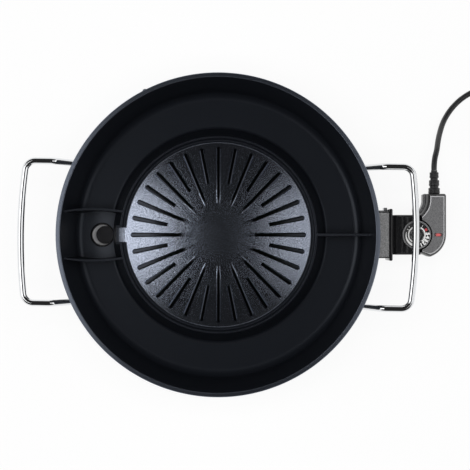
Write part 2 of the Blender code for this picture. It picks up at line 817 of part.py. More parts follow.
def earth_screw_place():
    y = SOCKET_WIDTH / 2 + GAP + EARTH_THICKNESS + EARTH_FOOT_WIDTH / 2
    return (EARTH_FOOT_X + EARTH_FOOT_LENGTH / 2, y)


def floor_screw_places():
    """Every screw that ends in a blind hole in the pan's floor."""
    places = [around(angle, SHIELD_SCREW_PLACE, 0)[:2] for angle in shield_screw_angles()]
    places += [around(angle, LEG_PLACE, 0)[:2] for angle in LEG_ANGLES]
    places += [(p.x, p.y) for p in bracket_screw_places()]
    places += runner_tab_places()
    places += [(SOCKET_SCREW_X, SOCKET_SCREW_SPREAD), (SOCKET_SCREW_X, -SOCKET_SCREW_SPREAD)]
    places.append(earth_screw_place())
    return places


def pan_profile():
    """Half section of the casting, from the crown out over the top, down and back underneath."""
    plate_end = LIP_RADIUS - LIP_WIDTH - MOAT_WIDTH
    lip_inner = LIP_RADIUS - LIP_WIDTH
    foot = fillet(
        (LIP_RADIUS, LIP_Z), (ISLAND_RADIUS, FLOOR_Z), (CHANNEL_RADIUS, FLOOR_Z), ISLAND_FILLET, 2
    )
    channel = fillet(
        (ISLAND_RADIUS, FLOOR_Z),
        (CHANNEL_RADIUS, FLOOR_Z),
        (RIM_INNER_RADIUS, RIM_Z),
        CHANNEL_FILLET,
        3,
    )
    rim_root_z = RIM_Z - RIM_DEPTH
    wall_outer = wall_radius(rim_root_z) + WALL
    base_outer = wall_radius(FLOOR_Z) + WALL
    outer_corner = fillet(
        (wall_outer, rim_root_z),
        (base_outer, UNDERSIDE_Z),
        (ISLAND_RADIUS, UNDERSIDE_Z),
        CHANNEL_FILLET,
        3,
    )
    hollow_foot = island_radius(UNDERSIDE_Z) - ISLAND_WALL
    hollow_top = island_radius(PLATE_UNDER_Z) - ISLAND_WALL
    return [
        (0, CROWN_Z),
        (CROWN_RADIUS, CROWN_Z),
        (plate_end, PLATE_EDGE_Z),
        (plate_end + MOAT_WIDTH * MOAT_SLOPE_SHARE, MOAT_Z),
        (lip_inner - MOAT_WIDTH * MOAT_SLOPE_SHARE, MOAT_Z),
        (lip_inner + LIP_WIDTH * LIP_SLOPE_SHARE, LIP_Z),
        (LIP_RADIUS, LIP_Z),
        *foot,
        *channel,
        (RIM_INNER_RADIUS, RIM_Z),
        (PAN_RADIUS - RIM_ROUND, RIM_Z),
        (PAN_RADIUS, RIM_Z - RIM_ROUND),
        (PAN_RADIUS, rim_root_z),
        (wall_outer, rim_root_z - RIM_ROUND),
        *outer_corner,
        (hollow_foot, UNDERSIDE_Z),
        (hollow_top, PLATE_UNDER_Z),
        (0, PLATE_UNDER_Z),
    ]


def grill_ribs(root):
    """Raised ribs: level tops over the falling plate, with round outer ends and fine inner ends."""
    bm = bmesh.new()
    half = RIB_WIDTH / 2
    top = CROWN_Z - RIB_SINK
    for n in range(RIB_COUNT):
        start = RIB_SHORT_START if n % 2 else RIB_LONG_START
        outline = [(start, 0), *arc((RIB_END - half, 0), half, -pi / 2, pi / 2, 4)]
        bottom = bm.faces.new([bm.verts.new((x, y, RIB_ROOT_Z)) for x, y in outline])
        grown = bmesh.ops.extrude_face_region(bm, geom=[bottom])
        tops = [v for v in grown["geom"] if isinstance(v, bmesh.types.BMVert)]
        bmesh.ops.translate(bm, verts=tops, vec=(0, 0, top - RIB_ROOT_Z))
        turn = Matrix.Rotation(2 * pi * n / RIB_COUNT, 3, "Z")
        bmesh.ops.rotate(bm, verts=[*bottom.verts, *tops], cent=(0, 0, 0), matrix=turn)
    return finish_mesh("pan_ribs", bm, root)


def web_levels():
    """Heights and outer radii of a web's end, along the middle of the pan's wall."""
    middle_z = FLOOR_Z - FLOOR_THICKNESS / 2
    corner = (wall_radius(FLOOR_Z) + WALL / 2, middle_z)
    above = (wall_radius(RIM_Z - RIM_DEPTH) + WALL / 2, RIM_Z - RIM_DEPTH)
    return fillet((ISLAND_RADIUS, middle_z), corner, above, CHANNEL_FILLET, 3)


def add_web(bm, side, spread, bow, top_width, foot_width, wall_z):
    """A thin upright wall from the island's lip to the pan's wall, bowed by a small amount."""
    sections = []
    for n in range(WEB_STATIONS):
        share = n / (WEB_STATIONS - 1)
        y = spread + bow * 4 * share * (1 - share)
        top_z = LIP_Z + (wall_z - LIP_Z) * share
        near_side = []
        far_side = []
        for far, z in [*web_levels(), (wall_radius(wall_z) + WALL / 2, top_z)]:
            near = island_radius(min(z, LIP_Z)) - LIP_WIDTH / 2
            radius = near + (far - near) * share
            x = side * sqrt(radius**2 - y**2)
            height_share = (z - UNDERSIDE_Z) / (top_z - UNDERSIDE_Z)
            half = (foot_width + (top_width - foot_width) * height_share) / 2
            near_side.append(bm.verts.new((x, y - half, z)))
            far_side.append(bm.verts.new((x, y + half, z)))
        sections.append([*near_side, *reversed(far_side)])
    count = len(sections[0])
    for one, two in zip(sections, sections[1:]):
        for k in range(count):
            bm.faces.new((one[k], one[(k + 1) % count], two[(k + 1) % count], two[k]))
    bm.faces.new(sections[0])
    bm.faces.new(sections[-1])


def pan_webs(root):
    """The two dams of the drain box and the divider opposite."""
    bm = bmesh.new()
    for end in (1, -1):
        add_web(bm, -1, end * DAM_SPREAD, end * DAM_BOW, DAM_TOP_WIDTH, DAM_FOOT_WIDTH, DAM_WALL_Z)
    add_web(bm, 1, 0, 0, DIVIDER_TOP_WIDTH, DIVIDER_FOOT_WIDTH, DIVIDER_WALL_Z)
    return finish_mesh("pan_webs", bm, root)


def pan_ramp(root):
    """Convex floor of the drain box, rising towards the island around the drain hole."""
    root_z = FLOOR_Z - RAMP_ROOT
    rise = RAMP_TOP_Z - FLOOR_Z
    island_inset = ISLAND_WALL - GAP
    run = RAMP_LOW_X - island_radius(RAMP_TOP_Z) + island_inset
    crest = [
        (-RAMP_LOW_X + run * share, FLOOR_Z + rise * sin(share * pi / 2))
        for share in RAMP_CREST_SHARES
    ]
    heel = island_inset - island_radius(root_z)
    outline = [(-RAMP_LOW_X, root_z), *crest, (heel, root_z)]
    return side_prism("pan_ramp", outline, RAMP_WIDTH / 2, root)


def pan_spout(root):
    """Tongue and two ears that carry the moat's opening out over the island's side."""
    inner = LIP_RADIUS - LIP_WIDTH / 2
    half = SPOUT_WIDTH / 2
    bm = bmesh.new()
    low = (-SPOUT_REACH, -half - SPOUT_EAR, SPOUT_ROOT_Z)
    add_block(bm, low, (-inner, half + SPOUT_EAR, LIP_Z - GAP))
    return finish_mesh("pan_spout", bm, root)


def make_pan(root):
    pan = turned("pan", pan_profile(), PAN_STEPS, root, material=paint("pan", BLACK_COAT, 0.32, 0.3))
    fuse(pan, pan_spout(root))
    half = SPOUT_WIDTH / 2
    moat_inner = LIP_RADIUS - LIP_WIDTH - MOAT_WIDTH / 2
    carve_block(
        pan, "spout", (-SPOUT_REACH - OVERRUN, -half, MOAT_Z), (-moat_inner, half, LIP_Z + OVERRUN)
    )
    fuse(pan, grill_ribs(root))
    fuse(pan, pan_webs(root))
    fuse(pan, pan_ramp(root))
    lug_place = PAN_RADIUS - LUG_RADIUS + LUG_PROUD
    lug_low = around(LUG_ANGLE, lug_place, RIM_Z - RIM_DEPTH + RIM_ROUND)
    lug_high = around(LUG_ANGLE, lug_place, RIM_Z - RIM_ROUND / 2)
    fuse_rods(pan, "lug", [(lug_low, lug_high, LUG_RADIUS)], POST_STEPS)
    boss_z = ELEMENT_Z - ELEMENT_RADIUS
    boss_top = PLATE_UNDER_Z + GAP
    bosses = [
        (around(a, CLIP_BOSS_PLACE, boss_z), around(a, CLIP_BOSS_PLACE, boss_top), CLIP_BOSS_RADIUS)
        for a in clip_angles()
    ]
    fuse_rods(pan, "clip_bosses", bosses)
    carve_rods(
        pan,
        "drain",
        [((-DRAIN_X, 0, UNDERSIDE_Z - OVERRUN), (-DRAIN_X, 0, RAMP_TOP_Z + OVERRUN),
          DRAIN_BORE_RADIUS + DRAIN_TUBE_WALL + GAP)],
        DISH_STEPS // 2,
    )
    hole = SCREW_SHANK + HOLE_CLEARANCE
    holes = [
        ((x, y, UNDERSIDE_Z - OVERRUN), (x, y, UNDERSIDE_Z + BLIND_DEPTH), hole)
        for x, y in floor_screw_places()
    ]
    small_hole = SMALL_SHANK + HOLE_CLEARANCE
    hole_ends = (boss_z - OVERRUN, boss_z + CLIP_SCREW_LENGTH)
    holes += [
        (*(around(a, CLIP_BOSS_PLACE, z) for z in hole_ends), small_hole) for a in clip_angles()
    ]
    carve_rods(pan, "screw_holes", holes)
    return pan


def make_drain_tube(root):
    outer = DRAIN_BORE_RADIUS + DRAIN_TUBE_WALL
    profile = [
        (outer, DRAIN_TUBE_TOP_Z),
        (outer, SEAT_Z),
        (DRAIN_FLANGE_RADIUS, SEAT_Z),
        (DRAIN_FLANGE_RADIUS, SEAT_Z - DRAIN_FLANGE_THICKNESS),
        (outer, SEAT_Z - DRAIN_FLANGE_THICKNESS),
        (outer, DRAIN_TUBE_END_Z),
        (DRAIN_BORE_RADIUS, DRAIN_TUBE_END_Z),
        (DRAIN_BORE_RADIUS, DRAIN_TUBE_TOP_Z),
    ]
    turned("drain_tube", profile, DISH_STEPS // 2, root, (-DRAIN_X, 0, 0),
           paint("drain_tube", STEEL, 0.3, 1.0), closed=True)


def element_route():
    """The ring under the island's foot, opened towards the socket, with its two leads."""
    ring = []
    for n in range(ELEMENT_POINTS + 1):
        share = n / ELEMENT_POINTS
        angle = ELEMENT_OPEN_ANGLE + (2 * pi - 2 * ELEMENT_OPEN_ANGLE) * share
        ring.append(around(angle, ELEMENT_RING, ELEMENT_Z))
    end_y = ring[0][1]
    drop = ELEMENT_Z - SOCKET_AXIS_Z
    length = TERMINAL_START_X - GAP - ring[0][0]
    lead = [
        (
            ring[0][0] + length * along,
            TERMINAL_SPREAD + (end_y - TERMINAL_SPREAD) * out,
            ELEMENT_Z - drop * down,
        )
        for along, out, down in LEAD_SHARES
    ]
    lead.append((TERMINAL_START_X - GAP, TERMINAL_SPREAD, SOCKET_AXIS_Z))
    bend = smooth_route([ring[2], ring[1], ring[0], *lead], LEAD_STEP)
    skip = next(n for n, p in enumerate(bend) if (p - Vector(ring[0])).length < MERGE)
    first = [Vector(p) for p in bend[skip + 1 :]]
    mirrored = [Vector((p.x, -p.y, p.z)) for p in first]
    return [*reversed(first), *[Vector(p) for p in ring], *mirrored]


def make_element(root):
    tube("heating_element", element_route(), ELEMENT_RADIUS, 2, root,
         paint("heating_element", (0.30, 0.29, 0.28), 0.45, 1.0))
    runs = [
        ((TERMINAL_START_X, side * TERMINAL_SPREAD, SOCKET_AXIS_Z),
         (TERMINAL_END_X, side * TERMINAL_SPREAD, SOCKET_AXIS_Z), TERMINAL_RADIUS)
        for side in (1, -1)
    ]
    for number, run in enumerate(runs, 1):
        name = f"terminal_pin_{number}"
        rods(name, [run], POST_STEPS, root, paint(name, STEEL, 0.25, 1.0))
    ring_under = ELEMENT_Z - ELEMENT_RADIUS
    top = ring_under - GAP
    for number, angle in enumerate(clip_angles(), 1):
        low = (CLIP_INNER, -CLIP_WIDTH / 2, top - CLIP_THICKNESS)
        high = (CLIP_OUTER, CLIP_WIDTH / 2, top)
        name = f"element_clip_{number}"
        clip = block(name, low, high, root, paint(name, STEEL, 0.4, 1.0))
        fuse_screws(clip, [((CLIP_BOSS_PLACE, 0, low[2]), (0, 0, 1))], CLIP_SCREW_LENGTH, small=True)
        turn = Matrix.Rotation(angle, 4, "Z")
        clip.data.transform(turn)
        clip.modifiers[0].object.data.transform(turn)


def make_shield(root):
    sheet = SHIELD_THICKNESS
    flange_z = SEAT_Z - sheet
    profile = [
        (0, SHIELD_BASE_Z + sheet),
        (SHIELD_BASE_RADIUS - sheet, SHIELD_BASE_Z + sheet),
        (SHIELD_DISH_RADIUS - sheet, SEAT_Z),
        (SHIELD_RADIUS, SEAT_Z),
        (SHIELD_RADIUS, flange_z),
        (SHIELD_DISH_RADIUS, flange_z),
        (SHIELD_BASE_RADIUS, SHIELD_BASE_Z),
        (0, SHIELD_BASE_Z),
    ]
    shield = turned("heat_shield", profile, DISH_STEPS, root,
                    material=paint("heat_shield", STEEL, 0.4, 1.0))
    drain_radius = DRAIN_FLANGE_RADIUS + SHIELD_DRAIN_CLEARANCE
    carve_rods(
        shield,
        "drain_notch",
        [((-DRAIN_X, 0, flange_z - OVERRUN), (-DRAIN_X, 0, SEAT_Z + OVERRUN), drain_radius)],
        POST_STEPS,
    )
    notch = SOCKET_WIDTH / 2 - SOCKET_WALL
    inner_x = ELEMENT_RING - ELEMENT_RADIUS * 2
    low_z = SOCKET_AXIS_Z - ELEMENT_RADIUS - POCKET_UNDER
    outer_x = SHIELD_RADIUS + OVERRUN
    carve_block(shield, "lead_notch", (inner_x, -notch, low_z), (outer_x, notch, SEAT_Z + OVERRUN))
    hole = SCREW_SHANK + HOLE_CLEARANCE
    hole_ends = (flange_z - OVERRUN, SEAT_Z + OVERRUN)
    runs = [
        (*(around(a, SHIELD_SCREW_PLACE, z) for z in hole_ends), hole) for a in shield_screw_angles()
    ]
    runs += [
        ((x, y, SHIELD_BASE_Z - OVERRUN), (x, y, SHIELD_BASE_Z + sheet + OVERRUN), hole)
        for x, y in runner_inner_places()
    ]
    carve_rods(shield, "holes", runs)
    places = [(around(a, SHIELD_SCREW_PLACE, flange_z - GAP), (0, 0, 1)) for a in shield_screw_angles()]
    screws("shield_screw", places, sheet + GAP + BLIND_DEPTH, root)


def make_pocket(root):
    half = POCKET_WIDTH / 2
    low = (POCKET_START_X, -half, SOCKET_AXIS_Z - POCKET_UNDER)
    high = (POCKET_END_X, half, SEAT_Z)
    pocket = block("probe_pocket", low, high, root, paint("probe_pocket", STEEL, 0.45, 1.0))
    axis_start = (PROBE_TIP_X - GAP, 0, SOCKET_AXIS_Z)
    axis_end = (POCKET_END_X + OVERRUN, 0, SOCKET_AXIS_Z)
    carve_rods(pocket, "bore", [(axis_start, axis_end, PROBE_RADIUS + PROBE_CLEARANCE)], POST_STEPS)


def make_socket(root):
    half = SOCKET_WIDTH / 2
    z = SOCKET_AXIS_Z
    low_z = z - SOCKET_HALF_HEIGHT
    wall = SOCKET_WALL
    socket = block(
        "socket_housing",
        (SOCKET_BACK_X - wall, -half, low_z),
        (SOCKET_FACE_X - GAP, half, z + SOCKET_HALF_HEIGHT),
        root,
        paint("socket_housing", GREY_PLASTIC, 0.5),
    )
    fuse_block(socket, "shroud", (SHROUD_START_X, -half, low_z), (SOCKET_BACK_X, half, SEAT_Z))
    flange = SOCKET_FLANGE_WIDTH / 2
    edge = block(
        "socket_housing_flange",
        (SOCKET_FLANGE_X, -flange, z - SOCKET_FLANGE_HALF_HEIGHT),
        (SOCKET_FACE_X, flange, z + SOCKET_FLANGE_HALF_HEIGHT),
        root,
    )
    fuse(socket, soften(edge, SOCKET_ROUND))
    inner = half - wall
    roof = SEAT_Z - SHROUD_ROOF
    rear_low = (SHROUD_START_X - OVERRUN, -inner, low_z + wall)
    carve_block(socket, "rear_hollow", rear_low, (SHROUD_END_X, inner, roof))
    cavity_top = z + SOCKET_HALF_HEIGHT - wall
    mouth_low = (SOCKET_BACK_X, -inner, low_z + wall)
    carve_block(socket, "mouth", mouth_low, (SOCKET_FACE_X + OVERRUN, inner, cavity_top))
    ends = (SHROUD_END_X - OVERRUN, SOCKET_BACK_X + OVERRUN)
    runs = [
        ((ends[0], y, z), (ends[1], y, z), radius)
        for y, radius in (
            (TERMINAL_SPREAD, TERMINAL_RADIUS + PIN_HOLE_CLEARANCE),
            (-TERMINAL_SPREAD, TERMINAL_RADIUS + PIN_HOLE_CLEARANCE),
            (0, PROBE_RADIUS + PIN_HOLE_CLEARANCE),
        )
    ]
    carve_rods(socket, "pin_holes", runs, POST_STEPS)
    places = [((SOCKET_SCREW_X, side * SOCKET_SCREW_SPREAD, roof), (0, 0, 1)) for side in (1, -1)]
    fuse_screws(socket, places, SHROUD_ROOF - GAP + BLIND_DEPTH)


def make_earth_contact(root):
    y = SOCKET_WIDTH / 2 + GAP
    z = SOCKET_AXIS_Z
    strip = block(
        "earth_contact",
        (EARTH_FOOT_X, y, z - EARTH_HEIGHT / 2),
        (EARTH_END_X, y + EARTH_THICKNESS, z + EARTH_HEIGHT / 2),
        root,
        paint("earth_contact", BRASS, 0.3, 1.0),
    )
    foot_z = SEAT_Z - EARTH_THICKNESS
    foot_end = EARTH_FOOT_X + EARTH_FOOT_LENGTH
    fuse_block(strip, "riser", (EARTH_FOOT_X, y, z), (foot_end, y + EARTH_THICKNESS, SEAT_Z))
    foot_y = y + EARTH_THICKNESS + EARTH_FOOT_WIDTH
    fuse_block(strip, "foot", (EARTH_FOOT_X, y, foot_z), (foot_end, foot_y, SEAT_Z))
    hump_low = (EARTH_END_X - EARTH_HUMP_LENGTH, y, z - EARTH_HEIGHT / 2)
    fuse_block(strip, "hump", hump_low, (EARTH_END_X, y + EARTH_HUMP, z + EARTH_HEIGHT / 2))
    screw_place = ((*earth_screw_place(), foot_z), (0, 0, 1))
    fuse_screws(strip, [screw_place], EARTH_THICKNESS - GAP + BLIND_DEPTH)


def make_legs(root):
    hole = SCREW_SHANK + HOLE_CLEARANCE
    leg_profile = [
        (hole, SEAT_Z),
        (LEG_TOP_RADIUS, SEAT_Z),
        (LEG_FOOT_RADIUS, LEG_FOOT_Z),
        (LEG_BORE_RADIUS, LEG_FOOT_Z),
        (LEG_BORE_RADIUS, LEG_BORE_TOP_Z),
        (hole, LEG_BORE_TOP_Z),
    ]
    stem = LEG_BORE_RADIUS - GAP
    pad_profile = [
        (0, PAD_HEIGHT + PAD_STEM_HEIGHT),
        (stem, PAD_HEIGHT + PAD_STEM_HEIGHT),
        (stem, PAD_HEIGHT),
        (PAD_RADIUS, PAD_HEIGHT),
        (PAD_RADIUS, PAD_CHAMFER),
        (PAD_RADIUS - PAD_CHAMFER, 0),
        (0, 0),
    ]
    for number, angle in enumerate(LEG_ANGLES, 1):
        place = around(angle, LEG_PLACE, 0)
        turned(f"leg_{number}", leg_profile, POST_STEPS, root, place,
               paint(f"leg_{number}", DARK_PLASTIC, 0.5), closed=True)
        turned(f"foot_pad_{number}", pad_profile, POST_STEPS, root, place,
               paint(f"foot_pad_{number}", RUBBER, 0.9))
    places = [(around(a, LEG_PLACE, LEG_BORE_TOP_Z - GAP), (0, 0, 1)) for a in LEG_ANGLES]
    screws("leg_screw", places, UNDERSIDE_Z - LEG_BORE_TOP_Z + BLIND_DEPTH, root)


def handle_route():
    """One handle's wire: out from its bracket, up steeply, out to the bowed grip and back."""
    half = HANDLE_WIDTH / 2
    grip_x = HANDLE_REACH - HANDLE_WIRE
    corner_x = grip_x - HANDLE_BOW
    low = HANDLE_SEAT_Z
    end = (HANDLE_END_X, half, low)
    knee = (HANDLE_KNEE_X, half, low)
    shoulder = (HANDLE_SHOULDER_X, half, HANDLE_GRIP_Z)
    corner = (corner_x, half, HANDLE_GRIP_Z)
    grip = [
        (grip_x - HANDLE_BOW * share**2, half * share, HANDLE_GRIP_Z) for share in HANDLE_GRIP_SHARES
    ]
    leg = [
        end,
        *fillet(end, knee, shoulder, HANDLE_BEND, HANDLE_BEND_STEPS),
        *fillet(knee, shoulder, corner, HANDLE_BEND, HANDLE_BEND_STEPS),
        *fillet(shoulder, corner, grip[0], HANDLE_BEND, HANDLE_BEND_STEPS),
        *grip,
    ]
    other = [(x, -y, z) for x, y, z in reversed(leg[:-1])]
    return leg + other


def make_handles(root):
    turn = carrier("handle_turn", root, turn=HANDLE_TURN)
    for side, name in ((1, "right"), (-1, "left")):
        route = [(side * x, side * y, z) for x, y, z in handle_route()]
        tube(f"handle_{name}", route, HANDLE_WIRE, 2, turn, paint(f"handle_{name}", STEEL, 0.12, 1.0))
    top = SEAT_Z
    bottom = HANDLE_SEAT_Z - HANDLE_WIRE - GAP - BRACKET_UNDER
    number = 0
    for side in (1, -1):
        for end in (1, -1):
            number += 1
            x = side * BRACKET_X
            y = end * HANDLE_WIDTH / 2
            low = (x - BRACKET_LENGTH / 2, y - BRACKET_WIDTH / 2, bottom)
            high = (x + BRACKET_LENGTH / 2, y + BRACKET_WIDTH / 2, top)
            bracket = block(f"handle_bracket_{number}", low, high, turn,
                            paint(f"handle_bracket_{number}", DARK_PLASTIC, 0.45))
            soften(bracket, BRACKET_ROUND, 1)
            bore_start = (low[0] - OVERRUN, y, HANDLE_SEAT_Z)
            bore_end = (high[0] + OVERRUN, y, HANDLE_SEAT_Z)
            carve_rods(bracket, "bore", [(bore_start, bore_end, HANDLE_WIRE + GAP)], POST_STEPS)
            places = [
                ((x, y + offset, bottom), (0, 0, 1))
                for offset in (BRACKET_SCREW_SPREAD, -BRACKET_SCREW_SPREAD)
            ]
            fuse_screws(bracket, places, top - bottom - GAP + BLIND_DEPTH)


def make_tray(carried):
    z = TRAY_BASE_Z
    inner_x = -TRAY_INNER_X
    outer_x = -TRAY_OUTER_X
    tray = block("drip_tray", (outer_x, -TRAY_HALF_WIDTH, z), (inner_x, TRAY_HALF_WIDTH, TRAY_TOP_Z),
                 carried, paint("drip_tray", STEEL, 0.35, 1.0))
    wall = TRAY_WALL
    pull_x = outer_x - TRAY_PULL
    pull_y = TRAY_HALF_WIDTH / 2
    flange = [
        (inner_x - GAP, -TRAY_LIP_HALF_WIDTH),
        (inner_x - GAP, TRAY_LIP_HALF_WIDTH),
        (outer_x + GAP, TRAY_LIP_HALF_WIDTH),
        (outer_x + GAP, pull_y),
        (pull_x, pull_y),
        (pull_x, -pull_y),
        (outer_x + GAP, -pull_y),
        (outer_x + GAP, -TRAY_LIP_HALF_WIDTH),
    ]
    flange_top = TRAY_TOP_Z - GAP
    fuse(tray, prism("drip_tray_flange", flange, TRAY_LIP_Z, flange_top, carried))
    fuse_block(
        tray,
        "pull_edge",
        (pull_x - wall / 2, -pull_y - GAP, TRAY_TOP_Z - TRAY_PULL_DROP),
        (pull_x + wall / 2, pull_y + GAP, TRAY_TOP_Z),
    )
    carve_block(
        tray,
        "inside",
        (outer_x + wall, -TRAY_HALF_WIDTH + wall, z + wall),
        (inner_x - wall, TRAY_HALF_WIDTH - wall, TRAY_TOP_Z + OVERRUN),
    )


def runner_span(side, x_far, x_near, y_near, y_far, z_low, z_high):
    """Corners of a block on one side of the tray; distances are measured outwards from the middle."""
    y_low, y_high = sorted((side * y_near, side * y_far))
    return (-x_far, y_low, z_low), (-x_near, y_high, z_high)


def make_runners(root):
    sheet = RUNNER_SHEET
    web = TRAY_LIP_HALF_WIDTH + GAP
    web_out = web + sheet
    ledge_top = TRAY_LIP_Z - GAP
    ledge_low = ledge_top - sheet
    tab_far = RUNNER_TAB_X + RUNNER_TAB_LENGTH / 2
    tab_near = RUNNER_TAB_X - RUNNER_TAB_LENGTH / 2
    inner_far = RUNNER_INNER_TAB_X + RUNNER_INNER_TAB_LENGTH / 2
    inner_near = RUNNER_INNER_TAB_X - RUNNER_INNER_TAB_LENGTH / 2
    foot_low = SEAT_Z - sheet
    inner_top = SHIELD_BASE_Z - GAP
    inner_low = inner_top - sheet
    foot_out = web + RUNNER_TAB_WIDTH
    inner_out = web + RUNNER_INNER_TAB_WIDTH
    long_run = (RUNNER_OUTER_X, RUNNER_INNER_X)
    blocks = {
        "ledge": (*long_run, web - RUNNER_LEDGE, web_out, ledge_low, ledge_top),
        "riser": (tab_far, tab_near, web, web_out, ledge_low, SEAT_Z),
        "foot": (tab_far, tab_near, web, foot_out, foot_low, SEAT_Z),
        "inner_foot": (inner_far, inner_near, web, inner_out, inner_low, inner_top),
    }
    for side, name in ((1, "tray_runner_left"), (-1, "tray_runner_right")):
        low, high = runner_span(side, *long_run, web, web_out, ledge_low, RUNNER_CLEAR_Z)
        runner = block(name, low, high, root, paint(name, STEEL, 0.4, 1.0))
        for label, sizes in blocks.items():
            fuse_block(runner, label, *runner_span(side, *sizes))
        places = [((x, y, foot_low), (0, 0, 1)) for x, y in runner_tab_places() if y * side > 0]
        places += [((x, y, inner_low), (0, 0, 1)) for x, y in runner_inner_places() if y * side > 0]
        fuse_screws(runner, places, sheet - GAP + BLIND_DEPTH)


def nose_outline():
    """The glossy nose seen from above: a rectangle that ends in the dial's well."""
    opening = acos((SHELL_FRONT_X - DIAL_X) / DIAL_WELL)
    return [
        (NOSE_SHOULDER_X, -NOSE_HALF_WIDTH),
        (SHELL_FRONT_X, -NOSE_HALF_WIDTH),
        *arc((DIAL_X, 0), DIAL_WELL, -opening, opening, ARC_STEPS),
        (SHELL_FRONT_X, NOSE_HALF_WIDTH),
        (NOSE_SHOULDER_X, NOSE_HALF_WIDTH),
    ]


def shell_outline(step):
    """The rear shell seen from above; step draws in its left edge and the hollow below the stem."""
    front = SHELL_FRONT_X + GAP
    well = DIAL_WELL + GAP
    opening = acos((front - DIAL_X) / well)
    chin = (SHELL_RIGHT_X - SHELL_CHIN_ROUND, 0)
    stem_centre = (SHELL_STEM_X - SHELL_STEM_ROUND, SHELL_STEM_Y)
    stem_round = SHELL_STEM_ROUND + step
    sweep = acos((front - stem_centre[0]) / stem_round)
    corner = (SHELL_RIGHT_X - SHELL_CORNER, SHELL_TOP_Y - SHELL_CORNER)
    return [
        (front, SHELL_HEEL_Y),
        *arc(chin, SHELL_CHIN_ROUND, SHELL_CHIN_ANGLE, 0, ARC_STEPS),
        *arc(corner, SHELL_CORNER, 0, pi / 2, 2),
        (SHELL_STEM_X + step, SHELL_TOP_Y),
        *arc(stem_centre, stem_round, 0, -sweep, ARC_STEPS // 2),
        *arc((DIAL_X, 0), well, opening, -opening, ARC_STEPS),
    ]


def make_nose(carried):
    z = SOCKET_AXIS_Z
    nose = prism("nose_block", nose_outline(), NOSE_BASE_Z, NOSE_TOP_Z, carried,
                 paint("nose_block", DARK_PLASTIC, 0.12))
    tongue_y = SOCKET_WIDTH / 2 - SOCKET_WALL - NOSE_TONGUE_GAP
    tongue_z = SOCKET_HALF_HEIGHT - SOCKET_WALL - NOSE_TONGUE_GAP
    tongue_low = (NOSE_FRONT_X, -tongue_y, z - tongue_z)
    fuse_block(nose, "tongue", tongue_low, (NOSE_CAVITY_X, tongue_y, z + tongue_z))
    carve_block(
        nose,
        "cavity",
        (NOSE_CAVITY_X, -NOSE_CAVITY_HALF_WIDTH, NOSE_BASE_Z - OVERRUN),
        (NOSE_CAVITY_END_X, NOSE_CAVITY_HALF_WIDTH, NOSE_TOP_Z - NOSE_ROOF),
    )
    sleeve = TERMINAL_RADIUS + GAP + SLEEVE_WALL
    start_x = NOSE_FRONT_X - OVERRUN
    end_x = NOSE_CAVITY_X + OVERRUN / 2
    bores = ((TERMINAL_SPREAD, sleeve + GAP), (-TERMINAL_SPREAD, sleeve + GAP), (0, PROBE_RADIUS + GAP))
    runs = [((start_x, y, z), (end_x, y, z), radius) for y, radius in bores]
    carve_rods(nose, "bores", runs, POST_STEPS)
    shaft_start = (DIAL_X, 0, NOSE_TOP_Z - NOSE_ROOF - OVERRUN / 2)
    shaft_end = (DIAL_X, 0, NOSE_TOP_Z + OVERRUN)
    carve_rods(nose, "shaft_hole", [(shaft_start, shaft_end, SHAFT_RADIUS + GAP)], POST_STEPS)
    hole = SMALL_SHANK + HOLE_CLEARANCE
    hole_top = SHELL_BASE_Z + GAP + NOSE_SCREW_LENGTH + GAP
    runs = [
        ((NOSE_SCREW_X, y, NOSE_BASE_Z - OVERRUN), (NOSE_SCREW_X, y, hole_top), hole)
        for y in (NOSE_SCREW_SPREAD, -NOSE_SCREW_SPREAD)
    ]
    carve_rods(nose, "screw_holes", runs)


def make_contacts(carried):
    z = SOCKET_AXIS_Z
    inner = TERMINAL_RADIUS + GAP
    outer = inner + SLEEVE_WALL
    runs = [
        ((SLEEVE_START_X, y, z), (SLEEVE_END_X, y, z), outer) for y in (TERMINAL_SPREAD, -TERMINAL_SPREAD)
    ]
    for number, run in enumerate(runs, 1):
        name = f"contact_sleeve_{number}"
        sleeve = rods(name, [run], POST_STEPS, carried, paint(name, BRASS, 0.3, 1.0))
        y = run[0][1]
        bore = ((SLEEVE_START_X - OVERRUN, y, z), (TERMINAL_END_X + OVERRUN, y, z), inner)
        carve_rods(sleeve, "bore", [bore], POST_STEPS)
    rods("temperature_probe", [((PROBE_TIP_X, 0, z), (SLEEVE_END_X, 0, z), PROBE_RADIUS)], POST_STEPS,
         carried, paint("temperature_probe", STEEL, 0.25, 1.0))
    switch_top = NOSE_BASE_Z + SWITCH_HEIGHT
    switch = block(
        "thermostat_switch",
        (SWITCH_START_X, -SWITCH_HALF_WIDTH, NOSE_BASE_Z),
        (SWITCH_END_X, SWITCH_HALF_WIDTH, switch_top),
        carried,
        paint("thermostat_switch", (0.75, 0.72, 0.62), 0.5),
    )
    slot = ((DIAL_X - SHAFT_RADIUS * 2, -SHAFT_RADIUS * 2, switch_top - SHELL_WALL),
            (SWITCH_END_X + OVERRUN, SHAFT_RADIUS * 2, switch_top + OVERRUN))
    carve_block(switch, "shaft_seat", *slot)


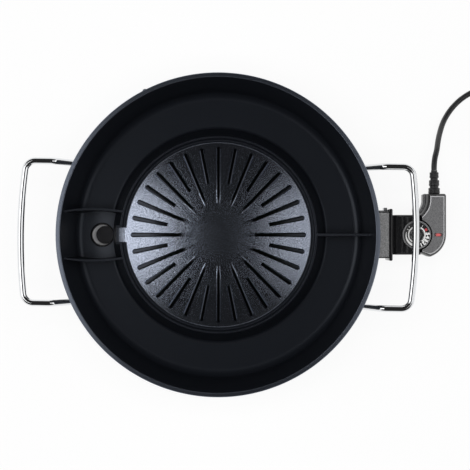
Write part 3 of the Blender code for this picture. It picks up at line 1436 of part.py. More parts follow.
def make_upper_shell(carried):
    upper = shell("upper_shell", shell_outline(SHELL_STEP), SHELL_TOP_Z, PARTING_Z + GAP, carried,
                  paint("upper_shell", GREY_PLASTIC, 0.6))
    roof = SHELL_TOP_Z - SHELL_WALL
    bosses = [((x, y, PARTING_Z + GAP), (x, y, roof + GAP), SHELL_BOSS_RADIUS) for x, y in SHELL_SCREWS]
    fuse_rods(upper, "bosses", bosses)
    hole = SMALL_SHANK + HOLE_CLEARANCE
    tip_z = PARTING_Z + (roof - PARTING_Z) / 2
    runs = [((x, y, PARTING_Z - OVERRUN), (x, y, tip_z + GAP), hole) for x, y in SHELL_SCREWS]
    carve_rods(upper, "screw_holes", runs)
    carve_rods(upper, "boot_hole", [boot_hole()], BOOT_STEPS)
    lens = LENS_LENGTH / 2 + GAP
    side = LENS_WIDTH / 2 + GAP
    carve_block(
        upper,
        "lens_window",
        (LAMP_X - lens, -side, roof - OVERRUN / 4),
        (LAMP_X + lens, side, SHELL_TOP_Z + OVERRUN),
    )


def boot_hole():
    """The round opening for the boot's neck through the shells' end wall, on the parting plane."""
    inner_y = SHELL_TOP_Y - SHELL_WALL - GAP * 2
    outer_y = SHELL_TOP_Y + OVERRUN
    return ((BOOT_X, inner_y, PARTING_Z), (BOOT_X, outer_y, PARTING_Z), BOOT_NECK_RADIUS + GAP)


def make_lower_shell(carried):
    lower = shell("lower_shell", shell_outline(0), SHELL_BASE_Z, PARTING_Z, carried,
                  paint("lower_shell", GREY_PLASTIC, 0.6))
    plate_y = NOSE_HALF_WIDTH - GAP
    fuse_block(
        lower,
        "nose_plate",
        (NOSE_SHOULDER_X + GAP, -plate_y, SHELL_BASE_Z),
        (DIAL_X + DIAL_WELL + SHELL_WALL / 2, plate_y, SHELL_BASE_Z + SHELL_WALL),
    )
    floor_z = SHELL_BASE_Z + SHELL_WALL
    bosses = [((x, y, floor_z - GAP), (x, y, PARTING_Z), SHELL_BOSS_RADIUS) for x, y in SHELL_SCREWS]
    fuse_rods(lower, "bosses", bosses)
    posts = [
        ((BOOT_X + side * CLAMP_SCREW_SPREAD, clamp_y(), floor_z - GAP),
         (BOOT_X + side * CLAMP_SCREW_SPREAD, clamp_y(), clamp_under_z() - GAP), CLAMP_POST_RADIUS)
        for side in (1, -1)
    ]
    fuse_rods(lower, "clamp_posts", posts)
    hole = SMALL_SHANK + HOLE_CLEARANCE
    sink = SMALL_HEAD + HOLE_CLEARANCE
    under = SHELL_BASE_Z - OVERRUN
    runs = [((x, y, under), (x, y, PARTING_Z + OVERRUN), hole) for x, y in SHELL_SCREWS]
    carve_rods(lower, "screw_holes", runs)
    runs = [((x, y, under), (x, y, SHELL_BASE_Z + SHELL_SCREW_SUNK), sink) for x, y in SHELL_SCREWS]
    carve_rods(lower, "counterbores", runs)
    post_top = clamp_under_z() - GAP
    post_hole_z = clamp_top_z() - GAP - CLAMP_SCREW_LENGTH - GAP
    runs = [
        ((BOOT_X + side * CLAMP_SCREW_SPREAD, clamp_y(), post_hole_z),
         (BOOT_X + side * CLAMP_SCREW_SPREAD, clamp_y(), post_top + OVERRUN), hole)
        for side in (1, -1)
    ]
    carve_rods(lower, "post_holes", runs)
    carve_rods(lower, "boot_hole", [boot_hole()], BOOT_STEPS)
    roof = SHELL_TOP_Z - SHELL_WALL
    tip_z = PARTING_Z + (roof - PARTING_Z) / 2
    spreads = (NOSE_SCREW_SPREAD, -NOSE_SCREW_SPREAD)
    places = [((NOSE_SCREW_X, y, SHELL_BASE_Z), (0, 0, 1)) for y in spreads]
    fuse_screws(lower, places, NOSE_SCREW_LENGTH, small=True)
    head_z = SHELL_BASE_Z + SHELL_SCREW_SUNK - GAP
    places = [((x, y, head_z), (0, 0, 1)) for x, y in SHELL_SCREWS]
    screws("shell_screw", places, tip_z - head_z, carried, small=True)


def clamp_y():
    """Middle of the cord clamp, inside the shells."""
    flange_inner = SHELL_TOP_Y - SHELL_WALL - GAP * 3 - BOOT_FLANGE_THICKNESS
    return flange_inner - BOOT_TAIL_LENGTH / 2


def clamp_under_z():
    return PARTING_Z + CORD_RADIUS + GAP


def clamp_top_z():
    return clamp_under_z() + CLAMP_THICKNESS


def make_cord_clamp(carried):
    y = clamp_y()
    low = (BOOT_X - CLAMP_HALF_WIDTH, y - CLAMP_LENGTH / 2, clamp_under_z())
    high = (BOOT_X + CLAMP_HALF_WIDTH, y + CLAMP_LENGTH / 2, clamp_top_z())
    clamp = block("cord_clamp", low, high, carried, paint("cord_clamp", (0.6, 0.58, 0.52), 0.5))
    spots = (BOOT_X + CLAMP_SCREW_SPREAD, BOOT_X - CLAMP_SCREW_SPREAD)
    places = [((x, y, clamp_top_z()), (0, 0, -1)) for x in spots]
    fuse_screws(clamp, places, CLAMP_SCREW_LENGTH, small=True)


def make_lamp(carried):
    roof = SHELL_TOP_Z - SHELL_WALL
    half = LENS_LENGTH / 2
    side = LENS_WIDTH / 2
    flange_top = roof - GAP
    flange_low = flange_top - LENS_FLANGE_THICKNESS
    low = (LAMP_X - half, -side, flange_low)
    high = (LAMP_X + half, side, SHELL_TOP_Z + LENS_PROUD)
    lens = block("lamp_lens", low, high, carried, paint("lamp_lens", (0.75, 0.05, 0.04), 0.2))
    fuse_block(
        lens,
        "flange",
        (LAMP_X - half - LENS_FLANGE, -side - LENS_FLANGE, flange_low),
        (LAMP_X + half + LENS_FLANGE, side + LENS_FLANGE, flange_top),
    )
    lamp_top = flange_low - GAP
    run = [((LAMP_X, 0, lamp_top - LAMP_LENGTH), (LAMP_X, 0, lamp_top), LAMP_RADIUS)]
    rods("pilot_lamp", run, POST_STEPS, carried, paint("pilot_lamp", (0.9, 0.6, 0.5), 0.1))


def make_boot(carried):
    """Ribbed strain relief, turned along the cord's way out, locked in the shells by its flange."""
    flange_out = -SHELL_WALL - GAP * 3
    inner = flange_out - BOOT_FLANGE_THICKNESS
    segment = BOOT_LENGTH / BOOT_SEGMENTS
    groove = segment * BOOT_GROOVE_SHARE
    ribs = []
    for n in range(BOOT_SEGMENTS, 0, -1):
        share = n / BOOT_SEGMENTS
        radius = BOOT_BASE_RADIUS + (BOOT_END_RADIUS - BOOT_BASE_RADIUS) * (share - 1 / BOOT_SEGMENTS)
        top = segment * n
        foot = top - segment
        ribs += [(radius - BOOT_GROOVE / 2, top), (radius, top - groove / 2), (radius, foot + groove)]
        if n > 1:
            ribs += [(radius - BOOT_GROOVE, foot + groove / 2), (radius - BOOT_GROOVE, foot)]
    ribs[-1] = (BOOT_BASE_RADIUS, GAP)
    profile = [
        (0, BOOT_LENGTH),
        *ribs,
        (BOOT_NECK_RADIUS, GAP),
        (BOOT_NECK_RADIUS, flange_out),
        (BOOT_FLANGE_RADIUS, flange_out),
        (BOOT_FLANGE_RADIUS, inner),
        (CORD_RADIUS, inner),
        (CORD_RADIUS, inner - BOOT_TAIL_LENGTH),
        (0, inner - BOOT_TAIL_LENGTH),
    ]
    boot = turned("cord_boot", profile, BOOT_STEPS, carried, (BOOT_X, SHELL_TOP_Y, PARTING_Z),
                  paint("cord_boot", RUBBER, 0.6))
    boot.rotation_euler = (-pi / 2, 0, 0)


def make_dial(carried):
    disc_low = NOSE_TOP_Z + GAP
    disc_top = disc_low + DIAL_DISC
    grip_top = disc_top + DIAL_GRIP_HEIGHT
    bore = SHAFT_RADIUS + GAP
    bore_top = disc_low + SHAFT_SEAT
    profile = [
        (0, grip_top),
        (DIAL_GRIP_RADIUS - DIAL_EDGE, grip_top),
        (DIAL_GRIP_RADIUS, grip_top - DIAL_EDGE),
        (DIAL_GRIP_RADIUS, disc_top),
        (DIAL_RADIUS - DIAL_EDGE, disc_top),
        (DIAL_RADIUS, disc_top - DIAL_EDGE),
        (DIAL_RADIUS, disc_low),
        (bore, disc_low),
        (bore, bore_top),
        (0, bore_top),
    ]
    place = (DIAL_X, 0, 0)
    knob = turned("dial_knob", profile, DIAL_STEPS, carried, place,
                  paint("dial_knob", DARK_PLASTIC, 0.35))
    low = disc_top + DIAL_EDGE
    high = grip_top + OVERRUN
    flutes = []
    for n in range(DIAL_FLUTES):
        x, y, _ = around(2 * pi * n / DIAL_FLUTES, DIAL_GRIP_RADIUS, 0)
        flutes.append(((DIAL_X + x, y, low), (DIAL_X + x, y, high), DIAL_FLUTE_RADIUS))
    carve_rods(knob, "flutes", flutes)
    switch_top = NOSE_BASE_Z + SWITCH_HEIGHT
    low = switch_top - SHELL_WALL + GAP
    run = [((DIAL_X, 0, low), (DIAL_X, 0, bore_top - GAP), SHAFT_RADIUS)]
    rods("dial_shaft", run, POST_STEPS, carried, paint("dial_shaft", STEEL, 0.3, 1.0))


def lead_route():
    """The chosen points of the cord's first stretch, set against the boot's end."""
    end_y = SHELL_TOP_Y + BOOT_LENGTH
    return [Vector((BOOT_X + x, end_y + y, z)) for x, y, z in CORD_ROUTE]


def coil_centre():
    """The coil's axis: the cord's last point is the start of the first turn."""
    x, y, _ = lead_route()[-1]
    return Vector((x + CORD_RADIUS * 2, y - COIL_RADIUS, COIL_LIFT + CORD_RADIUS))


def coil_points():
    """Turns that spiral in on the lower layer, climb at the middle and spiral out on the upper one."""
    centre = coil_centre()
    count = round(COIL_LOOP_POINTS * COIL_TURNS)
    half = COIL_TURNS / 2
    points = []
    for n in range(count + 1):
        turns = COIL_TURNS * n / count
        inward = half - abs(turns - half)
        radius = COIL_RADIUS - COIL_PITCH * inward
        climb = (turns - half + COIL_CLIMB_TURNS / 2) / COIL_CLIMB_TURNS
        climb = min(1, max(0, climb))
        rise = COIL_LAYER * climb * climb * (3 - 2 * climb)
        angle = COIL_ENTRY_ANGLE - 2 * pi * turns
        points.append(centre + Vector((radius * cos(angle), radius * sin(angle), rise)))
    exit_angle = COIL_ENTRY_ANGLE - 2 * pi * COIL_TURNS
    onward = Vector((sin(exit_angle), -cos(exit_angle), 0)) * CORD_RADIUS * 2
    lead_in = Vector((-CORD_RADIUS * 2, 0, 0))
    return [points[0] + lead_in, *points, points[-1] + onward]


def report_least_gap(points):
    """Print the least gap between stretches of the coil that are more than half a turn apart."""
    apart = COIL_LOOP_POINTS // 2
    least = min(
        closest_between(points[i], points[i + 1], points[j], points[j + 1])
        for i in range(len(points) - 1)
        for j in range(i + apart, len(points) - 1)
    )
    print(f"coil: least gap between turns {(least - CORD_RADIUS * 2) * 1000:.2f} mm")


def closest_between(a, b, c, d, samples=4):
    """Least distance between two short straight stretches, sampled along both."""
    best = None
    for i in range(samples + 1):
        p = a.lerp(b, i / samples)
        for j in range(samples + 1):
            distance = (p - c.lerp(d, j / samples)).length
            if best is None or distance < best:
                best = distance
    return best


def make_cord(carried):
    route = smooth_route(lead_route(), CORD_STEP)
    route[0] = Vector((BOOT_X, SHELL_TOP_Y + BOOT_LENGTH + GAP, PARTING_Z))
    route[-1] -= Vector((GAP, 0, 0))
    tube("cord_lead", route, CORD_RADIUS, 2, carried, paint("cord_lead", RUBBER, 0.5))
    coil = coil_points()
    report_least_gap(coil)
    tube("cord_coil", coil, CORD_RADIUS, 1, carried, paint("cord_coil", RUBBER, 0.5))
    tail_start = coil[-1] + (coil[-1] - coil[-2]).normalized() * GAP
    tail = [tail_start + point for point in smooth_route(TAIL_ROUTE, CORD_STEP)]
    tube("cord_tail", tail, CORD_RADIUS, 2, carried, paint("cord_tail", RUBBER, 0.5))
    total = sum((b - a).length for line in (route, coil, tail) for a, b in zip(line, line[1:]))
    print(f"cord: {total:.3f} m from the boot to the plug")
    make_tie(carried)
    onward = (tail[-1] - tail[-2]).normalized()
    make_plug(carried, tail[-1], onward)


def make_tie(carried):
    """A band around all the turns at one place, with a gap to them."""
    centre = coil_centre()
    clear = CORD_RADIUS + GAP
    inner = COIL_RADIUS - COIL_PITCH * COIL_TURNS / 2 - clear
    outer = COIL_RADIUS + clear
    low = centre.z - clear
    high = centre.z + COIL_LAYER + clear
    wall = TIE_THICKNESS
    half = TIE_WIDTH / 2
    place = (centre.x, centre.y, 0)
    bm = bmesh.new()
    add_block(bm, (inner - wall, -half, low - wall), (outer + wall, half, high + wall))
    tie = finish_mesh("cord_tie", bm, carried, place, paint("cord_tie", RUBBER, 0.7))
    bm = bmesh.new()
    add_block(bm, (inner, -TIE_WIDTH, low), (outer, TIE_WIDTH, high))
    window = finish_mesh("cord_tie_window", bm, carried, place)
    carve(tie, window)
    turn = Matrix.Rotation(TIE_ANGLE, 4, "Z")
    tie.data.transform(turn)
    window.data.transform(turn)


def make_plug(carried, cord_end, onward):
    """Moulded plug that lies on the table beside the coil, with two round pins."""
    half_height = cord_end.z
    half = PLUG_WIDTH / 2
    nose = PLUG_LENGTH * PLUG_NOSE_SHARE
    grip = CORD_RADIUS * 2
    start = GAP
    outline = [
        (-grip, start),
        (grip, start),
        (grip + CORD_RADIUS, nose / 2),
        (half, nose),
        (half, PLUG_LENGTH),
        (-half, PLUG_LENGTH),
        (-half, nose),
        (-grip - CORD_RADIUS, nose / 2),
    ]
    across = Vector((onward.y, -onward.x, 0))
    flat = [cord_end + across * x + onward * y for x, y in outline]
    body = prism("plug_body", [(p.x, p.y) for p in flat], 0, half_height * 2, carried,
                 paint("plug_body", RUBBER, 0.5))
    soften(body, PLUG_ROUND / 2, 2)
    face = cord_end + onward * PLUG_LENGTH
    bores = []
    for number, side in enumerate((1, -1), 1):
        foot = face + across * side * PLUG_PIN_SPREAD
        bores.append((foot - onward * PLUG_PIN_DEPTH, foot + onward * OVERRUN, PLUG_PIN_RADIUS + GAP))
        run = (foot - onward * (PLUG_PIN_DEPTH - GAP), foot + onward * PLUG_PIN_LENGTH, PLUG_PIN_RADIUS)
        name = f"plug_pin_{number}"
        rods(name, [run], POST_STEPS, carried, paint(name, STEEL, 0.2, 1.0))
    carve_rods(body, "pin_bores", bores, POST_STEPS)


def main():
    clear_scene()
    root = carrier("cooker")
    root.location = (PAN_X, 0, 0)
    make_pan(root)
    make_drain_tube(root)
    make_element(root)
    make_shield(root)
    make_pocket(root)
    make_socket(root)
    make_earth_contact(root)
    make_legs(root)
    make_handles(root)
    make_runners(root)
    tray = carrier("tray_slide", root, (-TRAY_OUTER_X, 0, TRAY_LIP_Z))
    make_tray(tray)
    controller = carrier("controller_slide", root, (SOCKET_FACE_X, 0, SOCKET_AXIS_Z))
    make_nose(controller)
    make_contacts(controller)
    make_upper_shell(controller)
    make_lower_shell(controller)
    make_cord_clamp(controller)
    make_lamp(controller)
    make_boot(controller)
    make_cord(controller)
    dial = carrier("dial_axis", controller, (DIAL_X, 0, NOSE_TOP_Z))
    make_dial(dial)


main()
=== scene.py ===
"""Looks of an electric hot pot with a grill island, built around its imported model.

Units are metres, +Z is up and the table is at z = 0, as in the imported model.
"""

from math import acos, ceil, copysign, cos, pi, radians, sin, sqrt, tan

import bpy
from mathutils import Matrix, Vector


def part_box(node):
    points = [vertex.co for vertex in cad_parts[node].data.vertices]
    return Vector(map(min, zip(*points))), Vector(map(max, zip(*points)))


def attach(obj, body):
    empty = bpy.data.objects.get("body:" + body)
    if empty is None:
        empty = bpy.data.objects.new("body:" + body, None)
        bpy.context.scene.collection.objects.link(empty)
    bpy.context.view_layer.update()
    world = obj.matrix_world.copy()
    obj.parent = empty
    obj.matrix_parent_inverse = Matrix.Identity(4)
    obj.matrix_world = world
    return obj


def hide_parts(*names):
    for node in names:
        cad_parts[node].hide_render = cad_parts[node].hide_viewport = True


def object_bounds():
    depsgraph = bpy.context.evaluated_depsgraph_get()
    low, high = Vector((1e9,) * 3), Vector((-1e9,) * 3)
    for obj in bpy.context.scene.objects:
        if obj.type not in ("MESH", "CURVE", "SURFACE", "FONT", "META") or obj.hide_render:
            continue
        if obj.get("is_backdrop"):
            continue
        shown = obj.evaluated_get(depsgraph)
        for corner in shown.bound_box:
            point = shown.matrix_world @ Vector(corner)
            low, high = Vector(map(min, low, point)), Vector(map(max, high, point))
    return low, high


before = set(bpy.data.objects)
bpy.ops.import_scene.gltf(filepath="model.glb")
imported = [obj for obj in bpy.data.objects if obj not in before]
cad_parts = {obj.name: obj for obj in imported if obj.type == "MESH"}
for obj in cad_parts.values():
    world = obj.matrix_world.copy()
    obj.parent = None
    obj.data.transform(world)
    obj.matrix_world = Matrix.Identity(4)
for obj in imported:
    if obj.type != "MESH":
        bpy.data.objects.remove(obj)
cad_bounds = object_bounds()
bpy.ops.object.select_all(action="DESELECT")
bpy.context.tool_settings.mesh_select_mode = (False, False, True)

# The camera hangs 1.2 m over the pan's rim and looks straight down, a little to the right of the
# pan's own axis, as the photograph was taken.
pan_low, pan_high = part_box("pan")
PAN_X = (pan_low.x + pan_high.x) / 2
RIM_Z = pan_high.z
CAMERA_OFFSET = 0.0198
CAMERA_DROP = 0.0002
CAMERA_RISE = 1.2
CAMERA_LENS = 78.7


def fresh(name, add, **settings):
    """A new object from one of Blender's own, with nothing else selected."""
    bpy.ops.object.select_all(action="DESELECT")
    add(**settings)
    piece = bpy.context.object
    piece.name = name
    return piece


camera_place = (PAN_X + CAMERA_OFFSET, -CAMERA_DROP, RIM_Z + CAMERA_RISE)
camera = fresh("camera", bpy.ops.object.camera_add, location=camera_place, rotation=(0, 0, 0))
camera.data.lens = CAMERA_LENS
camera.data.clip_start = 0.05
bpy.context.scene.camera = camera
bpy.context.scene.view_settings.view_transform = "Standard"

# The mains cord: 1.15 m of round 7 mm rubber-covered cord. It leaves the boot straight, hangs down
# to the table, and its spare length lies there in a flat coil of two layers, then runs to the plug.
CORD_RADIUS = 0.0035
LEAD_POINTS = [
    (0, 0.0003, 0.0515), (0, 0.0056, 0.0515), (0.0014, 0.0151, 0.0490), (0.0050, 0.0261, 0.0428),
    (0.0088, 0.0386, 0.0322), (0.0134, 0.0506, 0.0212), (0.0190, 0.0630, 0.0118),
    (0.0253, 0.0736, 0.0066), (0.0333, 0.0841, 0.0042), (0.0438, 0.0941, 0.0036),
    (0.0563, 0.1021, 0.0036), (0.0698, 0.1074, 0.0039), (0.0828, 0.1099, 0.0044),
    (0.0928, 0.1106, 0.0046), (0.0998, 0.1106, 0.0046),
]
TAIL_POINTS = [
    (0, 0, 0), (0, -0.0072, 0), (0.0010, -0.0172, -0.0002), (0.0025, -0.0267, -0.0002),
    (0.0035, -0.0352, 0), (0.0035, -0.0422, 0),
]
CORD_STEP = 0.004
COIL_RADIUS = 0.0425
COIL_PITCH = 0.0076
COIL_LAYER = 0.0075
COIL_TURNS = 4.25
COIL_CLIMB_TURNS = 0.5
COIL_LOOP_POINTS = 48
COIL_ENTRY_ANGLE = radians(90)


class Wire:
    """A shader socket that formulas can use; each new node joins the same material."""

    def __init__(self, tree, socket=None):
        self.tree = tree
        self.socket = socket

    def node(self, kind, sockets=(), output=0, **settings):
        """A new node with its settings and the values or wires of its sockets."""
        made = self.tree.nodes.new("ShaderNode" + kind)
        for name, value in settings.items():
            setattr(made, name, value)
        for key, value in dict(sockets).items():
            if isinstance(value, Wire):
                self.tree.links.new(value.socket, made.inputs[key])
            else:
                made.inputs[key].default_value = value
        return Wire(self.tree, made.outputs[output])

    def maths(self, operation, *values):
        """A Math node on this value and others."""
        return self.node("Math", dict(enumerate((self, *values))), operation=operation)

    def __add__(self, other):
        return self.maths("ADD", other)

    def __sub__(self, other):
        return self.maths("SUBTRACT", other)

    def __rsub__(self, other):
        return (self * -1).maths("ADD", other)

    def __mul__(self, other):
        return self.maths("MULTIPLY", other)

    __radd__ = __add__
    __rmul__ = __mul__

    def axis(self, name):
        """One of the three numbers of this place or direction."""
        return self.node("SeparateXYZ", {0: self}, output=name)

    def upright(self):
        """1 where the surface lies flat and 0 where it stands."""
        return self.node("NewGeometry", output="Normal").axis("Z").maths("ABSOLUTE")

    def between(self, low, high):
        """0 at low, 1 at high and a soft step in between."""
        sockets = {"Value": self, "From Min": low, "From Max": high}
        return self.node("MapRange", sockets, interpolation_type="SMOOTHSTEP")

    def noise(self, scale, detail=3.0, roughness=0.55):
        """Cloudy noise over the piece; scale is the number of clouds in a metre."""
        sockets = {"Vector": self, "Scale": scale, "Detail": detail, "Roughness": roughness}
        return self.node("TexNoise", sockets)

    def tint(self, dark, light):
        """A colour between two, by this value; each is a plain colour or a wire."""
        sockets = {0: self}
        for key, colour in ((6, dark), (7, light)):
            sockets[key] = colour if isinstance(colour, Wire) else (*colour, 1)
        return self.node("Mix", sockets, 2, data_type="RGBA")

    def into(self, name):
        """Feed a socket of the material's own shader."""
        self.tree.links.new(self.socket, self.tree.nodes["Principled BSDF"].inputs[name])

    def relief(self, depth):
        """Raise and sink the surface by this height between 0 and 1, over a depth in metres."""
        self.node("Bump", {"Height": self, "Distance": depth, "Strength": 1.0}).into("Normal")


def finish(name, colour, roughness, **constants):
    """A material with its constant values, and the wire of its object coordinates."""
    made = bpy.data.materials.new(name)
    made.use_nodes = True
    shader = made.node_tree.nodes["Principled BSDF"]
    shader.inputs["Base Color"].default_value = (*colour, 1)
    shader.inputs["Roughness"].default_value = roughness
    for key, value in constants.items():
        socket = shader.inputs[key.replace("_", " ")]
        socket.default_value = (*value, 1) if isinstance(value, tuple) else value
    return made, Wire(made.node_tree).node("TexCoord", output=3)


def fit(piece, body, slot, material, *nodes):
    """Give a finished piece its material and body, and let it stand for its CAD nodes. The slot is not used.
    """
    piece.data.materials.clear()
    piece.data.materials.append(material)
    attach(piece, body)
    if nodes:
        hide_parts(*nodes)


def smooth_route(points, step):
    """Points a step apart along a Catmull-Rom curve through the given ones."""
    knots = [Vector(p) for p in points]
    knots = [knots[0] * 2 - knots[1], *knots, knots[-1] * 2 - knots[-2]]
    route = []
    for a, b, c, d in zip(knots, knots[1:], knots[2:], knots[3:]):
        count = max(1, ceil((c - b).length / step))
        for k in range(count):
            t = k / count
            curve = b * 2 + (c - a) * t + (a * 2 - b * 5 + c * 4 - d) * t**2
            route.append((curve + (b * 3 - a - c * 3 + d) * t**3) / 2)
    return [*route, knots[-2]]


def placed(name, data):
    """A new object in the scene for a curve or a mesh."""
    piece = bpy.data.objects.new(name, data)
    bpy.context.scene.collection.objects.link(piece)
    return piece


def wire_piece(name, points, radius, resolution):
    """A round wire along points, with filled ends."""
    line = bpy.data.curves.new(name, "CURVE")
    line.dimensions = "3D"
    line.bevel_depth = radius
    line.bevel_resolution = resolution
    line.use_fill_caps = True
    spline = line.splines.new("POLY")
    spline.points.add(len(points) - 1)
    for spot, point in zip(spline.points, points):
        spot.co = (*point, 1)
    return placed(name, line)


boot_low, boot_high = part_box("cord_boot")
boot_end = Vector(((boot_low.x + boot_high.x) / 2, boot_high.y, 0))
lead = smooth_route([boot_end + Vector(p) for p in LEAD_POINTS], CORD_STEP)
coil_centre = lead[-1] + Vector((CORD_RADIUS * 2, -COIL_RADIUS, 0))
coil_steps = round(COIL_LOOP_POINTS * COIL_TURNS)
half_turns = COIL_TURNS / 2
coil = []
for n in range(coil_steps + 1):
    turns = COIL_TURNS * n / coil_steps
    radius = COIL_RADIUS - COIL_PITCH * (half_turns - abs(turns - half_turns))
    climb = min(1, max(0, (turns - half_turns + COIL_CLIMB_TURNS / 2) / COIL_CLIMB_TURNS))
    rise = COIL_LAYER * climb * climb * (3 - 2 * climb)
    angle = COIL_ENTRY_ANGLE - 2 * pi * turns
    coil.append(coil_centre + Vector((radius * cos(angle), radius * sin(angle), rise)))
onward = Vector((sin(angle), -cos(angle), 0))
tail_start = coil[-1] + onward * CORD_RADIUS * 2
tail = [tail_start + p for p in smooth_route(TAIL_POINTS, CORD_STEP)]
cord = wire_piece("mains_cord", [*lead, *coil, *tail], CORD_RADIUS, 5)

rubber, place = finish("cord_rubber", (0.016, 0.016, 0.017), 0.36)
grain = place.noise(2600)
grain.tint((0.010, 0.010, 0.011), (0.024, 0.024, 0.025)).into("Base Color")
(place.noise(90) * 0.16 + 0.28).into("Roughness")
grain.relief(0.00006)
fit(cord, "controller", "cord_rubber", rubber, "cord_lead", "cord_coil", "cord_tail")

# The cord's ribbed boot: soft rubber, moulded round the cord in three tapering segments, and held
# between the two shells by a flange on its inner end.
BOOT_LENGTH = 0.029
BOOT_SEGMENTS = 3
BOOT_BASE_RADIUS = 0.0071
BOOT_END_RADIUS = 0.0056
BOOT_NECK_RADIUS = 0.0052
BOOT_NECK_LENGTH = 0.006
BOOT_GROOVE = 0.0017
BOOT_STEPS = 48
GAP = 0.0003


def hold(piece):
    """Select one piece alone, as the active one."""
    bpy.ops.object.select_all(action="DESELECT")
    piece.select_set(True)
    bpy.context.view_layer.objects.active = piece


def shade(piece, angle=30):
    """Smooth the round faces and keep the edges that are sharper than the angle."""
    hold(piece)
    bpy.ops.object.shade_smooth_by_angle(angle=radians(angle))
    return piece


def apply_place(piece, location, rotation=(0, 0, 0)):
    """Turn and move a piece, and keep its place in its mesh."""
    hold(piece)
    piece.rotation_euler = rotation
    piece.location = location
    bpy.ops.object.transform_apply()
    return piece


def edit(piece):
    """Enter edit mode with all of one piece selected."""
    hold(piece)
    bpy.ops.object.mode_set(mode="EDIT")
    bpy.ops.mesh.select_all(action="SELECT")


def close_up(piece):
    """Leave edit mode with the faces pointing outwards."""
    bpy.ops.mesh.select_all(action="SELECT")
    bpy.ops.mesh.normals_make_consistent(inside=False)
    bpy.ops.object.mode_set(mode="OBJECT")
    return piece


def turned(name, profile, steps, bored=False):
    """A lathe-turned piece round the Z axis: a ring that is extruded and drawn in or out, step by
    step, along a profile of (radius, height). One with a bore is bridged back to its first ring."""
    radius, height = profile[0]
    fill = "NOTHING" if bored else "NGON"
    piece = fresh(name, bpy.ops.mesh.primitive_circle_add, vertices=steps, radius=radius, fill_type=fill)
    edit(piece)
    if bored:
        bpy.ops.mesh.select_mode(type="EDGE")
        bpy.ops.mesh.select_all(action="SELECT")
    bpy.ops.transform.translate(value=(0, 0, height))
    for next_radius, next_height in profile[1:]:
        rise = (0, 0, next_height - height)
        bpy.ops.mesh.extrude_region_move(TRANSFORM_OT_translate={"value": rise})
        share = next_radius / radius
        bpy.ops.transform.resize(value=(share, share, 1), center_override=(0, 0, next_height))
        radius, height = next_radius, next_height
    if bored:
        bpy.ops.mesh.select_all(action="SELECT")
        bpy.ops.mesh.region_to_loop()
        bpy.ops.mesh.bridge_edge_loops()
        bpy.ops.mesh.select_mode(type="FACE")
    return close_up(piece)


segment = BOOT_LENGTH / BOOT_SEGMENTS
boot_profile = [(BOOT_NECK_RADIUS, -BOOT_NECK_LENGTH), (BOOT_NECK_RADIUS, GAP)]
for n in range(BOOT_SEGMENTS):
    radius = BOOT_BASE_RADIUS - (BOOT_BASE_RADIUS - BOOT_END_RADIUS) * n / (BOOT_SEGMENTS - 1)
    foot = segment * n + GAP
    head = segment * (n + 1)
    form = [
        (0.0005, foot), (0.0001, foot + 0.0003), (0, foot + 0.0007), (0, foot + segment * 0.30),
        (0.0004, foot + segment * 0.33), (0.0004, foot + segment * 0.38),
        (0.0001, foot + segment * 0.41), (0.0001, head - segment * 0.31),
        (0.0004, head - segment * 0.26), (BOOT_GROOVE, head - segment * 0.23),
        (BOOT_GROOVE, head - segment * 0.02),
    ]
    boot_profile += [(radius - sunk, height) for sunk, height in form]
boot_profile[-1] = (BOOT_END_RADIUS - BOOT_GROOVE, BOOT_LENGTH)
boot = turned("cord_boot_rubber", boot_profile, BOOT_STEPS)
boot_z = (boot_low.z + boot_high.z) / 2
apply_place(boot, (boot_end.x, boot_end.y - BOOT_LENGTH, boot_z), (radians(-90), 0, 0))
fit(shade(boot, 40), "controller", "rubber", rubber, "cord_boot")

# The tie: a flat rubber band round all the turns of the coil, as a lead is tied when it is packed.
TIE_ANGLE = radians(225)
TIE_HALF_WIDTH = 0.003
TIE_WALL = 0.0007


def work(piece, kind, **settings):
    """Change a piece by a modifier."""
    hold(piece)
    change = piece.modifiers.new("change", kind)
    for name, value in settings.items():
        setattr(change, name, value)
    bpy.ops.object.modifier_apply(modifier=change.name)
    return piece


def soften(piece, width, segments=3, angle=30):
    """Round the edges of a piece that are sharper than the angle."""
    settings = {"limit_method": "ANGLE", "angle_limit": radians(angle), "harden_normals": False}
    return work(piece, "BEVEL", width=width, segments=segments, **settings)


def block(name, run, half, rise, round_width=0.0, segments=3, y=0):
    """A cube between two x and two z, as wide to both sides of y, with rounded edges."""
    low = Vector((run[0], y - half, rise[0]))
    high = Vector((run[1], y + half, rise[1]))
    add = bpy.ops.mesh.primitive_cube_add
    piece = fresh(name, add, size=1, location=(low + high) / 2, scale=high - low)
    bpy.ops.object.transform_apply()
    return soften(piece, round_width, segments) if round_width else piece


tie_reach = CORD_RADIUS + GAP + TIE_WALL
tie_run = (COIL_RADIUS - COIL_PITCH * half_turns - tie_reach, COIL_RADIUS + tie_reach)
tie_rise = (coil_centre.z - tie_reach, coil_centre.z + COIL_LAYER + tie_reach)
tie = block("cord_tie_band", tie_run, TIE_HALF_WIDTH, tie_rise)
bpy.ops.object.mode_set(mode="EDIT")
bpy.ops.mesh.select_all(action="DESELECT")
bpy.ops.object.mode_set(mode="OBJECT")
for face in tie.data.polygons:
    face.select = abs(face.normal.y) > 0.9
bpy.ops.object.mode_set(mode="EDIT")
bpy.ops.mesh.inset(thickness=TIE_WALL, use_even_offset=True)
bpy.ops.mesh.bridge_edge_loops()
close_up(tie)
apply_place(tie, (coil_centre.x, coil_centre.y, 0), (0, 0, TIE_ANGLE))
fit(tie, "controller", "rubber", rubber, "cord_tie")

